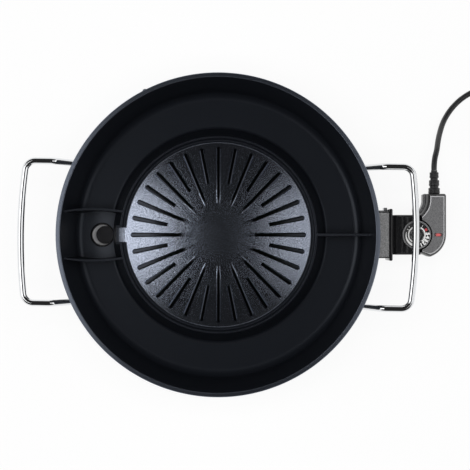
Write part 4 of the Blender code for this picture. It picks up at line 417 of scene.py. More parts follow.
# The mains plug: a two-pin plug moulded on the cord's end in the same rubber, with finger grooves
# on its sides and two round plated pins. It lies on the table beside the coil.
PLUG_SECTIONS = [
    (0.0003, 0.0056, 0.0050), (0.0010, 0.0064, 0.0056), (0.0035, 0.0080, 0.0068),
    (0.0062, 0.0112, 0.0088), (0.0088, 0.0148, 0.0107), (0.0112, 0.0170, 0.0117),
    (0.0136, 0.0176, 0.0120), (0.0156, 0.0170, 0.0118), (0.0176, 0.0176, 0.0120),
    (0.0196, 0.0170, 0.0118), (0.0216, 0.0177, 0.0120), (0.0236, 0.0171, 0.0118),
    (0.0256, 0.0178, 0.0121), (0.0325, 0.0180, 0.0121), (0.0334, 0.0178, 0.0119),
    (0.0338, 0.0174, 0.0115), (0.0340, 0.0168, 0.0109),
]
PLUG_STEPS = 64
PLUG_SQUARENESS = 0.62
PIN_RADIUS = 0.0024
PIN_TIP = 0.0022


def lofted(name, rings):
    """A closed piece through rings with equal numbers of points: the first ring's face is extruded
    once for each ring, and the new points are laid on that ring."""
    mesh = bpy.data.meshes.new(name)
    mesh.from_pydata(rings[0], [], [tuple(range(len(rings[0])))])
    piece = placed(name, mesh)
    edit(piece)
    for before, ring in zip(rings, rings[1:]):
        bpy.ops.mesh.extrude_region_move(TRANSFORM_OT_translate={"value": (0, 0, 2)})
        bpy.ops.object.mode_set(mode="OBJECT")
        spots = [(Vector(old), new) for old, new in zip(before, ring)]
        for vertex in piece.data.vertices:
            if vertex.co.z > 1:
                foot = vertex.co - Vector((0, 0, 2))
                vertex.co = min(spots, key=lambda spot: (spot[0] - foot).length)[1]
        bpy.ops.object.mode_set(mode="EDIT")
    return close_up(piece)


plug_low, plug_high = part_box("plug_body")
plug_x = (plug_low.x + plug_high.x) / 2
rings = []
for run, width, depth in PLUG_SECTIONS:
    ring = []
    for n in range(PLUG_STEPS):
        a = 2 * pi * (n + 0.5) / PLUG_STEPS
        across = width * copysign(abs(cos(a)) ** PLUG_SQUARENESS, cos(a))
        up = depth * copysign(abs(sin(a)) ** PLUG_SQUARENESS, sin(a))
        ring.append((plug_x + across, plug_high.y - run, plug_high.z / 2 + up))
    rings.append(ring)
plug = shade(lofted("plug_body_rubber", rings), 40)
fit(plug, "controller", "cord_rubber", rubber, "plug_body")

plated, place = finish("plated_pin", (0.66, 0.65, 0.63), 0.2, Metallic=1.0)
scratches = place.noise(700, detail=5.0)
(scratches * 0.25 + 0.10).into("Roughness")
scratches.relief(0.00002)

for number in (1, 2):
    low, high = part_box(f"plug_pin_{number}")
    shoulder = high.y - low.y - PIN_TIP
    tip = [(PIN_RADIUS * cos(a), shoulder + PIN_TIP * sin(a)) for a in map(radians, (0, 25, 50, 75))]
    pin = turned(f"plug_pin_{number}_plated", [(PIN_RADIUS, 0), *tip], 24)
    apply_place(pin, ((low.x + high.x) / 2, high.y, (low.z + high.z) / 2), (radians(90), 0, 0))
    fit(shade(pin), "controller", "steel", plated, f"plug_pin_{number}")

# The table and the light: a white table that keeps a soft shadow, two softboxes on the left and the
# right that gloss and metal mirror, a wide fill light overhead, and a studio that is white low down.
TABLE_SIZE = 12.0
TABLE_Z = -0.0004
TABLE_GLOW = 0.88
SOFTBOX_DISTANCE = 1.9
SOFTBOX_TILT = radians(33)
SOFTBOX_WIDTH = 1.0
SOFTBOX_LENGTH = 0.95
SOFTBOXES = (("left", -1, 1.95), ("right", 1, 1.0))
FILL_HEIGHT = 2.0
FILL_WIDTH = 1.2
FILL_RADIANCE = 6.0
ZENITH = 0.022
HORIZON = 0.95

table = fresh("table", bpy.ops.mesh.primitive_plane_add, size=TABLE_SIZE, location=(0, 0, TABLE_Z))
bpy.ops.object.transform_apply()
white, place = finish("white_table", (0.93, 0.93, 0.93), 0.6)
seen = place.node("LightPath", output="Is Camera Ray")
mirrored = place.node("LightPath", output="Is Glossy Ray")
weight = seen.maths("MAXIMUM", mirrored) * TABLE_GLOW
surface = place.node("BsdfDiffuse", {"Color": (0.96, 0.96, 0.96, 1)})
glow = place.node("Emission", {"Color": (1, 1, 1, 1), "Strength": 1.0})
mixed = place.node("MixShader", {0: weight, 1: surface, 2: glow})
output = white.node_tree.nodes["Material Output"]
white.node_tree.links.new(mixed.socket, output.inputs["Surface"])
table.data.materials.append(white)
table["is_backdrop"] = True


def light(name, place, tilt, width, length, radiance):
    """An area light that the camera doesn't see, with the brightness of its own face."""
    lamp = fresh(name, bpy.ops.object.light_add, type="AREA", location=place, rotation=(0, tilt, 0))
    lamp.data.shape = "RECTANGLE"
    lamp.data.size = width
    lamp.data.size_y = length
    lamp.data.energy = radiance * pi * width * length
    lamp.visible_camera = False
    return lamp


for label, side, radiance in SOFTBOXES:
    across = side * SOFTBOX_DISTANCE * sin(SOFTBOX_TILT)
    spot = (PAN_X + across, 0, SOFTBOX_DISTANCE * cos(SOFTBOX_TILT))
    light(f"softbox_{label}", spot, side * SOFTBOX_TILT, SOFTBOX_WIDTH, SOFTBOX_LENGTH, radiance)
fill_light = light("fill_light", (0, 0, FILL_HEIGHT), 0, FILL_WIDTH, FILL_WIDTH, FILL_RADIANCE)
fill_light.visible_glossy = False

world = bpy.data.worlds.new("studio")
bpy.context.scene.world = world
world.use_nodes = True
background = world.node_tree.nodes["Background"]
background.inputs["Color"].default_value = (1, 1, 1, 1)
sky = Wire(world.node_tree)
direction = sky.node("TexCoord", output=0)
sideways = direction.axis("X").maths("ABSOLUTE").between(0.66, 0.80)
lit = direction.axis("Z").between(0.30, 0.19).maths("MAXIMUM", sideways)
strength = lit * (HORIZON - ZENITH) + ZENITH
seen = sky.node("LightPath", output="Is Camera Ray")
shown = sky.node("Mix", {0: seen, 2: strength, 3: 1.0}, 0, data_type="FLOAT")
world.node_tree.links.new(shown.socket, background.inputs["Strength"])

# The pan: one die casting of aluminium with a black ceramic-filled non-stick coat, sprayed on and
# baked, so its bare faces keep a fine mottle. Channel, grill island, ribs, dams and spout are one piece.
PAN_RADIUS = 0.190
RIM_WIDTH = 0.005
RIM_DEPTH = 0.007
PAN_WALL = 0.0035
CHANNEL_RADIUS = 0.172
CHANNEL_ROUND = 0.010
FLOOR_Z = 0.062
UNDERSIDE_Z = 0.058
ISLAND_RADIUS = 0.130
ISLAND_LEAN = 0.4
ISLAND_ROUND = 0.004
ISLAND_WALL = 0.004
LIP_RADIUS = 0.118
LIP_WIDTH = 0.003
LIP_Z = 0.092
MOAT_WIDTH = 0.004
MOAT_Z = 0.0872
PLATE_EDGE_Z = 0.0885
PLATE_UNDER_Z = 0.084
CROWN_Z = 0.0922
CROWN_REACH = 0.085
CROWN_FALL = 0.114
CROWN_STEPS = 12
GRAIN_DEPTH = 0.00011
PAN_STEPS = 240
WALL_LEAN = (PAN_RADIUS - RIM_WIDTH - CHANNEL_RADIUS) / (RIM_Z - FLOOR_Z)
RIB_COUNT = 32
RIB_END = 0.1058
RIB_TOP_Z = 0.0918
RIB_ROOT_Z = 0.0862
RIB_STARTS = (0.036, 0.062)
RIB_HALF_FOOT = 0.0036
RIB_HALF_TOP = 0.0019
SPOUT_HALF_WIDTH = 0.0095
SPOUT_EAR = 0.0022
SPOUT_REACH = 0.1225
SPOUT_LOW_Z = 0.0855
DAM_SPREAD = 0.0275
DAM_BOW = 0.003
DAM_HALF_TOP = 0.00115
DAM_HALF_FOOT = 0.0019
DAM_WALL_Z = 0.110
DIVIDER_HALF_TOP = 0.0014
DIVIDER_HALF_FOOT = 0.0020
DIVIDER_WALL_Z = 0.105
WEB_STATIONS = 40
RAMP_HALF_WIDTH = 0.0285
RAMP_LOW_X = 0.158
RAMP_TOP_Z = 0.068
RAMP_STEPS = 16
RAMP_CURVE = 2.6
DRAIN_X = 0.142
DRAIN_HOLE_RADIUS = 0.01355
LUG_ANGLE = radians(117)
BOSS_RING = 0.105


def corner(before, point, after, radius, steps):
    """Points of the arc that rounds one corner of a path."""
    point = Vector(point)
    back = (Vector(before) - point).normalized()
    ahead = (Vector(after) - point).normalized()
    half = back.angle(ahead) / 2
    centre = point + (back + ahead).normalized() * radius / sin(half)
    first = point + back * radius / tan(half) - centre
    last = point + ahead * radius / tan(half) - centre
    sweep = first.angle(last)
    parts = [sweep * n / steps for n in range(steps + 1)]
    return [tuple(centre + (first * sin(sweep - part) + last * sin(part)) / sin(sweep)) for part in parts]


def rounded(path):
    """A path of (x, z) points, where those with (x, z, radius, steps) become arcs."""
    made = [path[0]]
    for before, point, after in zip(path, path[1:], path[2:]):
        made += corner(before[:2], point[:2], after[:2], *point[2:]) if point[2:] else [point]
    return [*made, path[-1]]


def combine(piece, helper, operation="UNION"):
    """Join a helper to a piece or cut it out, and remove the helper."""
    work(piece, "BOOLEAN", operation=operation, solver="EXACT", object=helper)
    bpy.data.objects.remove(helper)
    return piece


def cut(piece, helper):
    return combine(piece, helper, "DIFFERENCE")


def ridge(side, half):
    """A bar with a side outline of (x, z), as wide to both sides of the X axis."""
    return lofted("ridge", [[(x, y, z) for x, z in side] for y in (-half, half)])


def stacked(name, outline, levels):
    """A closed piece through an outline of (x, y) at each level of (inset, z)."""
    return lofted(name, [[(x, y, z) for x, y in outline(inset)] for inset, z in levels])


def post(low, high_z, radius, steps=32):
    """An upright round post or cutter, from its low end's middle to a height."""
    x, y, z = low
    piece = turned("post", [(radius, z), (radius, high_z)], steps)
    piece.data.transform(Matrix.Translation((x, y, 0)))
    return piece


def copied(piece, name, matrix):
    """A copy with its own mesh, moved by a matrix that stays in the mesh."""
    twin = placed(name, piece.data.copy())
    twin.data.transform(matrix)
    return twin


def settle(piece, angle, x=PAN_X):
    """Move a piece that was modelled round the Z axis along X to its place, and smooth it."""
    return shade(apply_place(piece, (x, 0, 0)), angle)


def wall_radius(z):
    return CHANNEL_RADIUS + WALL_LEAN * (z - FLOOR_Z)


def island_radius(z):
    return ISLAND_RADIUS - ISLAND_LEAN * (z - FLOOR_Z)


rim_inner = PAN_RADIUS - RIM_WIDTH
rim_root = RIM_Z - RIM_DEPTH
lip_inner = LIP_RADIUS - LIP_WIDTH
plate_end = lip_inner - MOAT_WIDTH
crown = []
for n in range(CROWN_STEPS - 1, 0, -1):
    radius = plate_end * n / CROWN_STEPS
    crown.append((radius, CROWN_Z - (CROWN_Z - PLATE_EDGE_Z) * (radius / plate_end) ** 2))
half_section = [
    (0.002, PLATE_UNDER_Z),
    (island_radius(PLATE_UNDER_Z) - ISLAND_WALL, PLATE_UNDER_Z, 0.003, 4),
    (island_radius(UNDERSIDE_Z) - ISLAND_WALL, UNDERSIDE_Z, 0.0008, 3),
    (wall_radius(FLOOR_Z) + PAN_WALL, UNDERSIDE_Z, CHANNEL_ROUND, 10),
    (wall_radius(rim_root) + PAN_WALL, rim_root, 0.0012, 3),
    (PAN_RADIUS, rim_root, 0.0012, 4),
    (PAN_RADIUS, RIM_Z, 0.0013, 5),
    (rim_inner, RIM_Z, 0.0010, 5),
    (CHANNEL_RADIUS, FLOOR_Z, CHANNEL_ROUND, 12),
    (ISLAND_RADIUS, FLOOR_Z, ISLAND_ROUND, 7),
    (LIP_RADIUS, LIP_Z, 0.0009, 5),
    (lip_inner + 0.0006, LIP_Z, 0.0008, 4),
    (lip_inner - 0.0008, MOAT_Z, 0.0010, 4),
    (plate_end + 0.0008, MOAT_Z, 0.0008, 4),
    (plate_end, PLATE_EDGE_Z, 0.0007, 4),
    *crown,
    (0.002, CROWN_Z),
]
pan = turned("pan_casting", rounded(half_section), PAN_STEPS)

spout_run = (-SPOUT_REACH, -lip_inner - 0.0014)
spout_rise = (SPOUT_LOW_Z, LIP_Z - 0.0002)
combine(pan, block("spout", spout_run, SPOUT_HALF_WIDTH + SPOUT_EAR, spout_rise, 0.0007))
gutter_run = (-SPOUT_REACH - 0.004, -plate_end - MOAT_WIDTH / 2)
cut(pan, block("gutter", gutter_run, SPOUT_HALF_WIDTH, (MOAT_Z, LIP_Z + 0.004), 0.0012))
gutter_side = [
    (-SPOUT_REACH, MOAT_Z - 0.0010),
    (-SPOUT_REACH, MOAT_Z + 0.0004),
    (0.0025 - plate_end, PLATE_EDGE_Z + 0.0001),
    (0.0025 - plate_end, MOAT_Z - 0.0010),
]
combine(pan, ridge(gutter_side, SPOUT_HALF_WIDTH - 0.0007))


def rib(start):
    """A grill rib: a tapering strip that ends in a half circle."""
    tip = RIB_END - RIB_HALF_FOOT
    turns = [radians(12 * k - 90) for k in range(16)]

    def outline(half):
        return [(start, -half), *[(tip + half * cos(a), half * sin(a)) for a in turns], (start, half)]

    return stacked("rib", outline, rib_levels)


rib_levels = [
    (RIB_HALF_FOOT, RIB_ROOT_Z), (RIB_HALF_FOOT, RIB_ROOT_Z + 0.0006),
    (RIB_HALF_TOP + 0.0005, RIB_TOP_Z - 0.0007), (RIB_HALF_TOP + 0.0003, RIB_TOP_Z - 0.0003),
    (RIB_HALF_TOP, RIB_TOP_Z - 0.0001), (RIB_HALF_TOP - 0.0005, RIB_TOP_Z),
]
models = [rib(start) for start in RIB_STARTS]
ribs = []
for n in range(RIB_COUNT):
    ribs.append(copied(models[n % 2], "grill_rib", Matrix.Rotation(2 * pi * n / RIB_COUNT, 4, "Z")))
for model in models:
    bpy.data.objects.remove(model)
hold(ribs[0])
for piece in ribs:
    piece.select_set(True)
bpy.ops.object.join()
combine(pan, ribs[0])


def web(name, side, spread, bow, half_top, half_foot, wall_z):
    """A thin upright wall from the island's lip to the pan's wall: a grid, bent and extruded."""
    middle = PAN_WALL / 2
    levels = corner(
        (ISLAND_RADIUS, UNDERSIDE_Z + 0.002),
        (wall_radius(FLOOR_Z) + middle, UNDERSIDE_Z + 0.002),
        (wall_radius(rim_root) + middle, rim_root),
        CHANNEL_ROUND,
        6,
    )
    levels.append((wall_radius(wall_z) + middle, wall_z))
    rows = len(levels) - 1

    def half(z):
        return half_foot + (half_top - half_foot) * (z - UNDERSIDE_Z) / (wall_z - UNDERSIDE_Z)

    add = bpy.ops.mesh.primitive_grid_add
    piece = fresh(name, add, x_subdivisions=WEB_STATIONS, y_subdivisions=rows, size=1)
    for vertex in piece.data.vertices:
        share = vertex.co.x + 0.5
        row = round((vertex.co.y + 0.5) * rows)
        far, z = levels[row]
        if row == rows:
            z = LIP_Z + (wall_z - LIP_Z) * share
        near = island_radius(min(z, LIP_Z)) - LIP_WIDTH / 2
        radius = near + (far - near) * share
        y = spread + bow * 4 * share * (1 - share)
        vertex.co = (side * sqrt(radius**2 - y**2), y - half(z), z)
    edit(piece)
    bpy.ops.mesh.extrude_region_move(TRANSFORM_OT_translate={"value": (0, 1, 0)})
    bpy.ops.object.mode_set(mode="OBJECT")
    for vertex in piece.data.vertices:
        if vertex.co.y > 0.5:
            vertex.co.y += 2 * half(vertex.co.z) - 1
    bpy.ops.object.mode_set(mode="EDIT")
    return soften(close_up(piece), half_top * 0.8, 4, 60)


for piece in (
    web("dam_upper", -1, DAM_SPREAD, DAM_BOW, DAM_HALF_TOP, DAM_HALF_FOOT, DAM_WALL_Z),
    web("dam_lower", -1, -DAM_SPREAD, -DAM_BOW, DAM_HALF_TOP, DAM_HALF_FOOT, DAM_WALL_Z),
    web("divider", 1, 0, 0, DIVIDER_HALF_TOP, DIVIDER_HALF_FOOT, DIVIDER_WALL_Z),
):
    combine(pan, piece)

ramp_run = RAMP_LOW_X - island_radius(RAMP_TOP_Z) + ISLAND_WALL
ramp_rise = RAMP_TOP_Z - FLOOR_Z
shares = [n / RAMP_STEPS for n in range(RAMP_STEPS + 1)]
ramp_side = [(ramp_run * share - RAMP_LOW_X, FLOOR_Z + ramp_rise * share**RAMP_CURVE) for share in shares]
ramp_foot = FLOOR_Z - 0.0015
combine(pan, ridge([(-RAMP_LOW_X, ramp_foot), *ramp_side, (ramp_side[-1][0], ramp_foot)], RAMP_HALF_WIDTH))

lug = turned("rim_lug", [(0.003, RIM_Z - 0.0058), (0.003, RIM_Z - 0.0012), (0.0024, RIM_Z - 0.0006)], 32)
lug.data.transform(Matrix.Rotation(LUG_ANGLE, 4, "Z") @ Matrix.Translation((PAN_RADIUS - 0.0018, 0, 0)))
combine(pan, lug)
cut(pan, post((-DRAIN_X, 0, UNDERSIDE_Z - 0.004), RAMP_TOP_Z + 0.004, DRAIN_HOLE_RADIUS, 72))
for angle in (60, 180, 300):
    boss = turned("clip_boss", [(0.0050, 0.0597), (0.0046, PLATE_UNDER_Z + 0.0003)], 32)
    boss.data.transform(Matrix.Rotation(radians(angle), 4, "Z") @ Matrix.Translation((BOSS_RING, 0, 0)))
    combine(pan, boss)

work(settle(pan, 35), "WEIGHTED_NORMAL", keep_sharp=True)
coat, place = finish(
    "pan_coat", (0.005, 0.006, 0.008), 0.25, Specular_Tint=(0.80, 0.87, 1.0), Specular_IOR_Level=0.32
)
across = place.axis("X") - PAN_X
along = place.axis("Y")
level = place.axis("Z")
distance = (across * across + along * along).maths("SQRT")
plate_level = CROWN_Z - distance * distance * ((CROWN_Z - PLATE_EDGE_Z) / plate_end**2)
on_rib = (level - plate_level).between(0.00010, 0.00025)
on_top = level.between(RIB_TOP_Z - 0.00015, RIB_TOP_Z - 0.00005)
on_shoulder = level.between(RIB_TOP_Z - 0.0009, RIB_TOP_Z - 0.0006) * (1 - on_top)
notch_edge = along.maths("ABSOLUTE").between(SPOUT_HALF_WIDTH - 0.0015, SPOUT_HALF_WIDTH - 0.0005)
in_notch = (1 - notch_edge) * (1 - across.between(-0.01, 0.01))
in_notch = in_notch * (1 - distance.between(plate_end, SPOUT_REACH - 0.0020) * 0.8)
in_notch = in_notch * (1 - distance.between(SPOUT_REACH - 0.0040, SPOUT_REACH - 0.0025))
reach = (1 - distance.between(plate_end - 0.0014, plate_end - 0.0002)).maths("MAXIMUM", in_notch)
plate = reach * level.between(MOAT_Z - 0.0022, MOAT_Z - 0.0007)
grill = plate * (1 - on_rib)
rim = distance.between(rim_inner - 0.0007, rim_inner) * level.between(RIM_Z - 0.0015, RIM_Z - 0.0008)
# A ring round the drain hole's edge is painted black and unreflecting: painted shade where the hole goes
# dark.
hole_x = across + DRAIN_X
from_hole = (hole_x * hole_x + along * along).maths("SQRT") - DRAIN_HOLE_RADIUS
painted_hole_shade = 1 - from_hole.between(0.00105, 0.00155)
painted_hole_shade = painted_hole_shade * (1 - level.between(RAMP_TOP_Z + 0.007, RAMP_TOP_Z + 0.008))
mottle = place.noise(900, detail=4.0, roughness=0.7)
fine = place.noise(2400, detail=2.0)
cloud = place.noise(45, detail=2.0)
bare = fine.tint((0.004, 0.005, 0.007), (0.009, 0.010, 0.013))
speckle = mottle.between(0.3, 0.7).tint((0.13, 0.149, 0.19), (0.46, 0.50, 0.60))
ribbed = (on_top * 0.28 + on_shoulder).tint((0.005, 0.006, 0.007), (0.115, 0.125, 0.150))
edge = fine.tint((0.118, 0.133, 0.167), (0.186, 0.208, 0.254))
flaked = rim.tint(on_rib.tint(speckle, ribbed), edge)
flakes = plate.maths("MAXIMUM", rim)
flakes.tint(painted_hole_shade.tint(bare, (0.003, 0.003, 0.003)), flaked).into("Base Color")
flakes.maths("MAXIMUM", painted_hole_shade).into("Metallic")
smooth_part = plate * 0.16 - mottle * grill * 0.14 - rim * 0.09
(cloud * 0.06 + fine * 0.04 + 0.25 - smooth_part).into("Roughness")
crowning = distance.maths("MINIMUM", CROWN_REACH)
falling = crowning * crowning * (CROWN_FALL / (2 * CROWN_REACH))
outside = (distance.maths("MINIMUM", plate_end + 0.001) - CROWN_REACH).maths("MAXIMUM", 0)
on_rim = (distance - (rim_inner - 0.0004)).maths("MAXIMUM", 0)
falling = falling + (outside + on_rim) * CROWN_FALL
(mottle * grill + fine * 0.12 - falling * (1 / GRAIN_DEPTH)).relief(GRAIN_DEPTH)
fit(pan, "cooker", "pan_coat", coat, "pan")

# The drain tube: a short spun steel tube, pressed through the drain hole and held by its flange
# from below, so that fat runs out of the drain box into the tray.
TUBE_RADIUS = 0.01325
TUBE_MOUTH_Z = 0.0624

tube_profile = [
    (0.0112, 0.0365), (TUBE_RADIUS, 0.0365), (TUBE_RADIUS, 0.0562), (0.0172, 0.0562), (0.0175, 0.0565),
    (0.0175, 0.0574), (0.0172, 0.0577), (TUBE_RADIUS, 0.0577), (TUBE_RADIUS, TUBE_MOUTH_Z),
    (0.0131, 0.0628), (0.01285, 0.0630), (0.0126, 0.0628), (0.01245, TUBE_MOUTH_Z),
]
tube = settle(turned("drain_tube_steel", tube_profile, 96, bored=True), 35, PAN_X - DRAIN_X)
satin_steel, place = finish("blasted_drain_metal", (0.72, 0.72, 0.73), 0.34)
lines = place.node("Mapping", {0: place, 3: (40, 40, 2600)}).noise(1.0)
# The tube's mouth is painted near black: painted shade round the top of the drain.
painted_mouth_shade = place.axis("Z").between(TUBE_MOUTH_Z - 0.0018, TUBE_MOUTH_Z - 0.0002)
bright = lines.tint((0.64, 0.64, 0.65), (0.80, 0.80, 0.81))
painted_mouth_shade.tint(bright, (0.012, 0.012, 0.013)).into("Base Color")
(lines * 0.22 + 0.20).into("Roughness")
lines.relief(0.00002)
fit(tube, "cooker", "steel", satin_steel, "drain_tube")

# The handles: one length of 8 mm steel wire each, bent cold, polished and chrome-plated. The wire
# rises steeply from two brackets under the pan, and its bowed grip stands clear of the pan's wall.
HANDLE_WIRE = 0.004
HANDLE_REACH = 0.2375
HANDLE_HALF_SPAN = 0.0840
HANDLE_BOW = 0.0056
HANDLE_GRIP_Z = 0.104
HANDLE_SEAT_Z = 0.0496
HANDLE_SHOULDER_X = 0.1945
HANDLE_KNEE_X = 0.1640
HANDLE_END_X = 0.1255
HANDLE_BEND = 0.012
HANDLE_BEND_STEPS = 14
HANDLE_TURN = radians(-0.95)
GRIP_SHARE = 0.86
GRIP_STEPS = 12
WELD_REACH = 0.000002


def weld(piece):
    """Merge the points that lie in one place, close pinholes and face the piece outwards."""
    edit(piece)
    bpy.ops.mesh.remove_doubles(threshold=WELD_REACH)
    bpy.ops.mesh.select_all(action="SELECT")
    bpy.ops.mesh.fill_holes(sides=12)
    return close_up(piece)


def as_mesh(piece):
    """A wire's or a digit's curve made a mesh, with its ends merged to its sides."""
    hold(piece)
    bpy.ops.object.convert(target="MESH")
    return weld(bpy.context.object)


def grained(name, colour, roughness, grain, dark, light, dulling=(), depth=0, **constants):
    """A finish with one grain, a noise of (scale, detail): it tints the colour, dulls the gloss by
    (gain, least), and raises the surface by a depth."""
    made, place = finish(name, colour, roughness, **constants)
    noise = place.noise(*grain)
    noise.tint(dark, light).into("Base Color")
    if dulling:
        gain, least = dulling
        (noise * gain + least).into("Roughness")
    if depth:
        noise.relief(depth)
    return made


grip_x = HANDLE_REACH - HANDLE_WIRE
grip_half = [
    (grip_x - HANDLE_BOW * share**2, HANDLE_HALF_SPAN * share, HANDLE_GRIP_Z)
    for share in [GRIP_SHARE - GRIP_SHARE * n / GRIP_STEPS for n in range(GRIP_STEPS + 1)]
]
bends = [
    (HANDLE_END_X, HANDLE_HALF_SPAN, HANDLE_SEAT_Z),
    (HANDLE_KNEE_X, HANDLE_HALF_SPAN, HANDLE_SEAT_Z),
    (HANDLE_SHOULDER_X, HANDLE_HALF_SPAN, HANDLE_GRIP_Z),
    (grip_x - HANDLE_BOW, HANDLE_HALF_SPAN, HANDLE_GRIP_Z),
    grip_half[0],
]
half_route = [bends[0]]
for before, point, after in zip(bends, bends[1:], bends[2:]):
    half_route += corner(before, point, after, HANDLE_BEND, HANDLE_BEND_STEPS)
half_route += grip_half
handle_route = half_route + [(x, -y, z) for x, y, z in reversed(half_route[:-1])]

chrome = grained(
    "chromed_wire", (0.80, 0.81, 0.82), 0.08, (260, 4.0), (0.76, 0.77, 0.79), (0.84, 0.85, 0.86),
    (0.03, 0.012), Metallic=1.0,
)
handles_turn = Matrix.Translation((PAN_X, 0, 0)) @ Matrix.Rotation(HANDLE_TURN, 4, "Z")
for label, turn in (("left", pi), ("right", 0)):
    handle = as_mesh(wire_piece(f"handle_{label}_wire", handle_route, HANDLE_WIRE, 8))
    handle.data.transform(handles_turn @ Matrix.Rotation(turn, 4, "Z"))
    fit(shade(handle, 40), "cooker", "bright_wire", chrome, f"handle_{label}")

# The controller's shells: two moulded halves of fine-textured grey plastic, screwed together from
# below. The upper half is drawn in at the stem, with a stepped bevel over the lower half's edge.
SHELL_FRONT_X = 0.2463
SHELL_RIGHT_X = 0.2778
SHELL_TOP_Y = 0.0504
SHELL_STEM_X = 0.2518
SHELL_STEM_Y = 0.0433
SHELL_STEM_ROUND = 0.0221
SHELL_HEEL_Y = -0.0220
SHELL_CHIN_ROUND = 0.0282
SHELL_CHIN_ANGLE = radians(-72.5)
SHELL_CORNER = 0.0030
SHELL_STEP = 0.0026
SHELL_WALL = 0.0020
SHELL_TOP_Z = 0.0680
SHELL_BASE_Z = 0.0340
PARTING_Z = 0.0515
SHELL_SCREWS = ((0.2585, 0.0300), (0.2715, 0.0120), (0.2600, -0.0185))
SCREW_POST_RADIUS = 0.0034
SCREW_SINK_RADIUS = 0.0030
DIAL_X = 0.2405
DIAL_WELL = 0.0185
BOOT_BORE = 0.0055
LAMP_X = 0.2672
LENS_LENGTH = 0.009
LENS_WIDTH = 0.0032


def arc(centre, radius, start, end, steps):
    """Points of a flat arc, both ends included."""
    turns = [start + (end - start) / steps * n for n in range(steps + 1)]
    return [(centre[0] + radius * cos(turn), centre[1] + radius * sin(turn)) for turn in turns]


def shell_outline(inset, step):
    """The shells seen from above, drawn in by an inset, less so towards the nose; step draws in only
    the left edge and the hollow below the stem."""
    front = SHELL_FRONT_X + GAP + inset * 0.3
    well = DIAL_WELL + GAP + inset * 0.15
    opening = acos((front - DIAL_X) / well)
    chin = (SHELL_RIGHT_X - SHELL_CHIN_ROUND, 0)
    stem_centre = (SHELL_STEM_X - SHELL_STEM_ROUND, SHELL_STEM_Y)
    stem_round = SHELL_STEM_ROUND + step + inset
    sweep = acos((front - stem_centre[0]) / stem_round)
    right = max(SHELL_CORNER - inset, 0.0004)
    left = max(0.0012 - inset, 0.0003)
    top = SHELL_TOP_Y - inset
    return [
        (front, SHELL_HEEL_Y + inset * 0.5),
        *arc(chin, SHELL_CHIN_ROUND - inset, SHELL_CHIN_ANGLE, 0, 32),
        *arc((SHELL_RIGHT_X - inset - right, top - right), right, 0, pi / 2, 8),
        *arc((SHELL_STEM_X + step + inset + left, top - left), left, pi / 2, pi, 4),
        *arc(stem_centre, stem_round, 0, -sweep, 24),
        *arc((DIAL_X, 0), well, opening, -opening, 32),
    ]


def shell_half(name, step, levels, wall, roof_z):
    """One moulded half: levels of (inset, height) from its open side on, hollowed from that side."""

    def outline(inset):
        return shell_outline(inset, step)

    piece = stacked(name, outline, levels)
    open_z = levels[0][1]
    up = 0.001 if roof_z > open_z else -0.001
    cut(piece, stacked("cavity", outline, [(wall, open_z - up), (wall, roof_z)]))
    for x, y in SHELL_SCREWS:
        combine(piece, post((x, y, open_z), roof_z + up / 2, SCREW_POST_RADIUS))
    boot_bore = turned("boot_bore", [(BOOT_BORE, -0.006), (BOOT_BORE, 0.006)], 40)
    bore_place = (boot_end.x - PAN_X, SHELL_TOP_Y, PARTING_Z)
    return cut(piece, apply_place(boot_bore, bore_place, (-pi / 2, 0, 0)))


upper_levels = [
    (0, PARTING_Z + GAP), (0.0003, 0.0636), (0.0010, 0.0652), (0.0020, 0.0666), (0.0027, 0.0673),
    (0.0031, 0.0676), (0.0035, 0.0678), (0.0040, 0.06795), (0.0044, SHELL_TOP_Z), (0.0048, SHELL_TOP_Z),
]
upper = shell_half("controller_upper_shell", SHELL_STEP, upper_levels, 0.0028, SHELL_TOP_Z - SHELL_WALL)
window_run = (LAMP_X - LENS_LENGTH / 2 - GAP, LAMP_X + LENS_LENGTH / 2 + GAP)
window_rise = (SHELL_TOP_Z - 0.003, SHELL_TOP_Z + 0.002)
cut(upper, block("window", window_run, LENS_WIDTH / 2 + GAP, window_rise, 0.0008))
lower_levels = [
    (0.0003, PARTING_Z), (0, PARTING_Z - 0.0003), (0.0004, 0.0362), (0.0008, 0.0350), (0.0014, 0.0343),
    (0.0024, SHELL_BASE_Z),
]
lower = shell_half("controller_lower_shell", 0, lower_levels, 0.0042, SHELL_BASE_Z + SHELL_WALL)
base_rise = (SHELL_BASE_Z, SHELL_BASE_Z + SHELL_WALL)
combine(lower, block("nose_plate", (0.2148, 0.2600), 0.0243, base_rise, 0.0006))
for x, y in SHELL_SCREWS:
    cut(lower, post((x, y, SHELL_BASE_Z - 0.004), SHELL_BASE_Z + 0.004, SCREW_SINK_RADIUS))

shell_plastic, place = finish("textured_grey_plastic", (0.105, 0.105, 0.107), 0.55)
spark = place.noise(1100, detail=4.0, roughness=0.7)
upright = place.upright()
# Painted light and shade: the shell's steep sides are painted near black as shade, and a light grey line is
# painted on the bevel as a highlight. Only the flat top shows the plastic's own texture.
top_face = upright.between(0.9935, 0.9990)
painted_bevel_highlight = upright.between(0.80, 0.93) * (1 - upright.between(0.985, 0.9965))
textured = spark.between(0.25, 0.75).tint((0.05, 0.05, 0.052), (0.24, 0.24, 0.245))
sides = painted_bevel_highlight.tint((0.014, 0.014, 0.015), (0.52, 0.52, 0.53))
top_face.tint(sides, textured).into("Base Color")
(place.noise(60) * 0.14 + top_face * 0.20 + 0.28).into("Roughness")
(spark * top_face).relief(0.00012)
fit(settle(upper, 32), "controller", "grey_plastic", shell_plastic, "upper_shell")
fit(settle(lower, 32), "controller", "grey_plastic", shell_plastic, "lower_shell")

# The controller's nose: glossy black heat-proof plastic round the probe and the two contact
# sleeves. Its tongue enters the socket, and its round end carries the dial.
NOSE_SHOULDER_X = 0.2145
NOSE_HALF_WIDTH = 0.0246
NOSE_BASE_Z = 0.0363
NOSE_TOP_Z = 0.0665
TERMINAL_SPREAD = 0.012
SOCKET_AXIS_Z = 0.0500


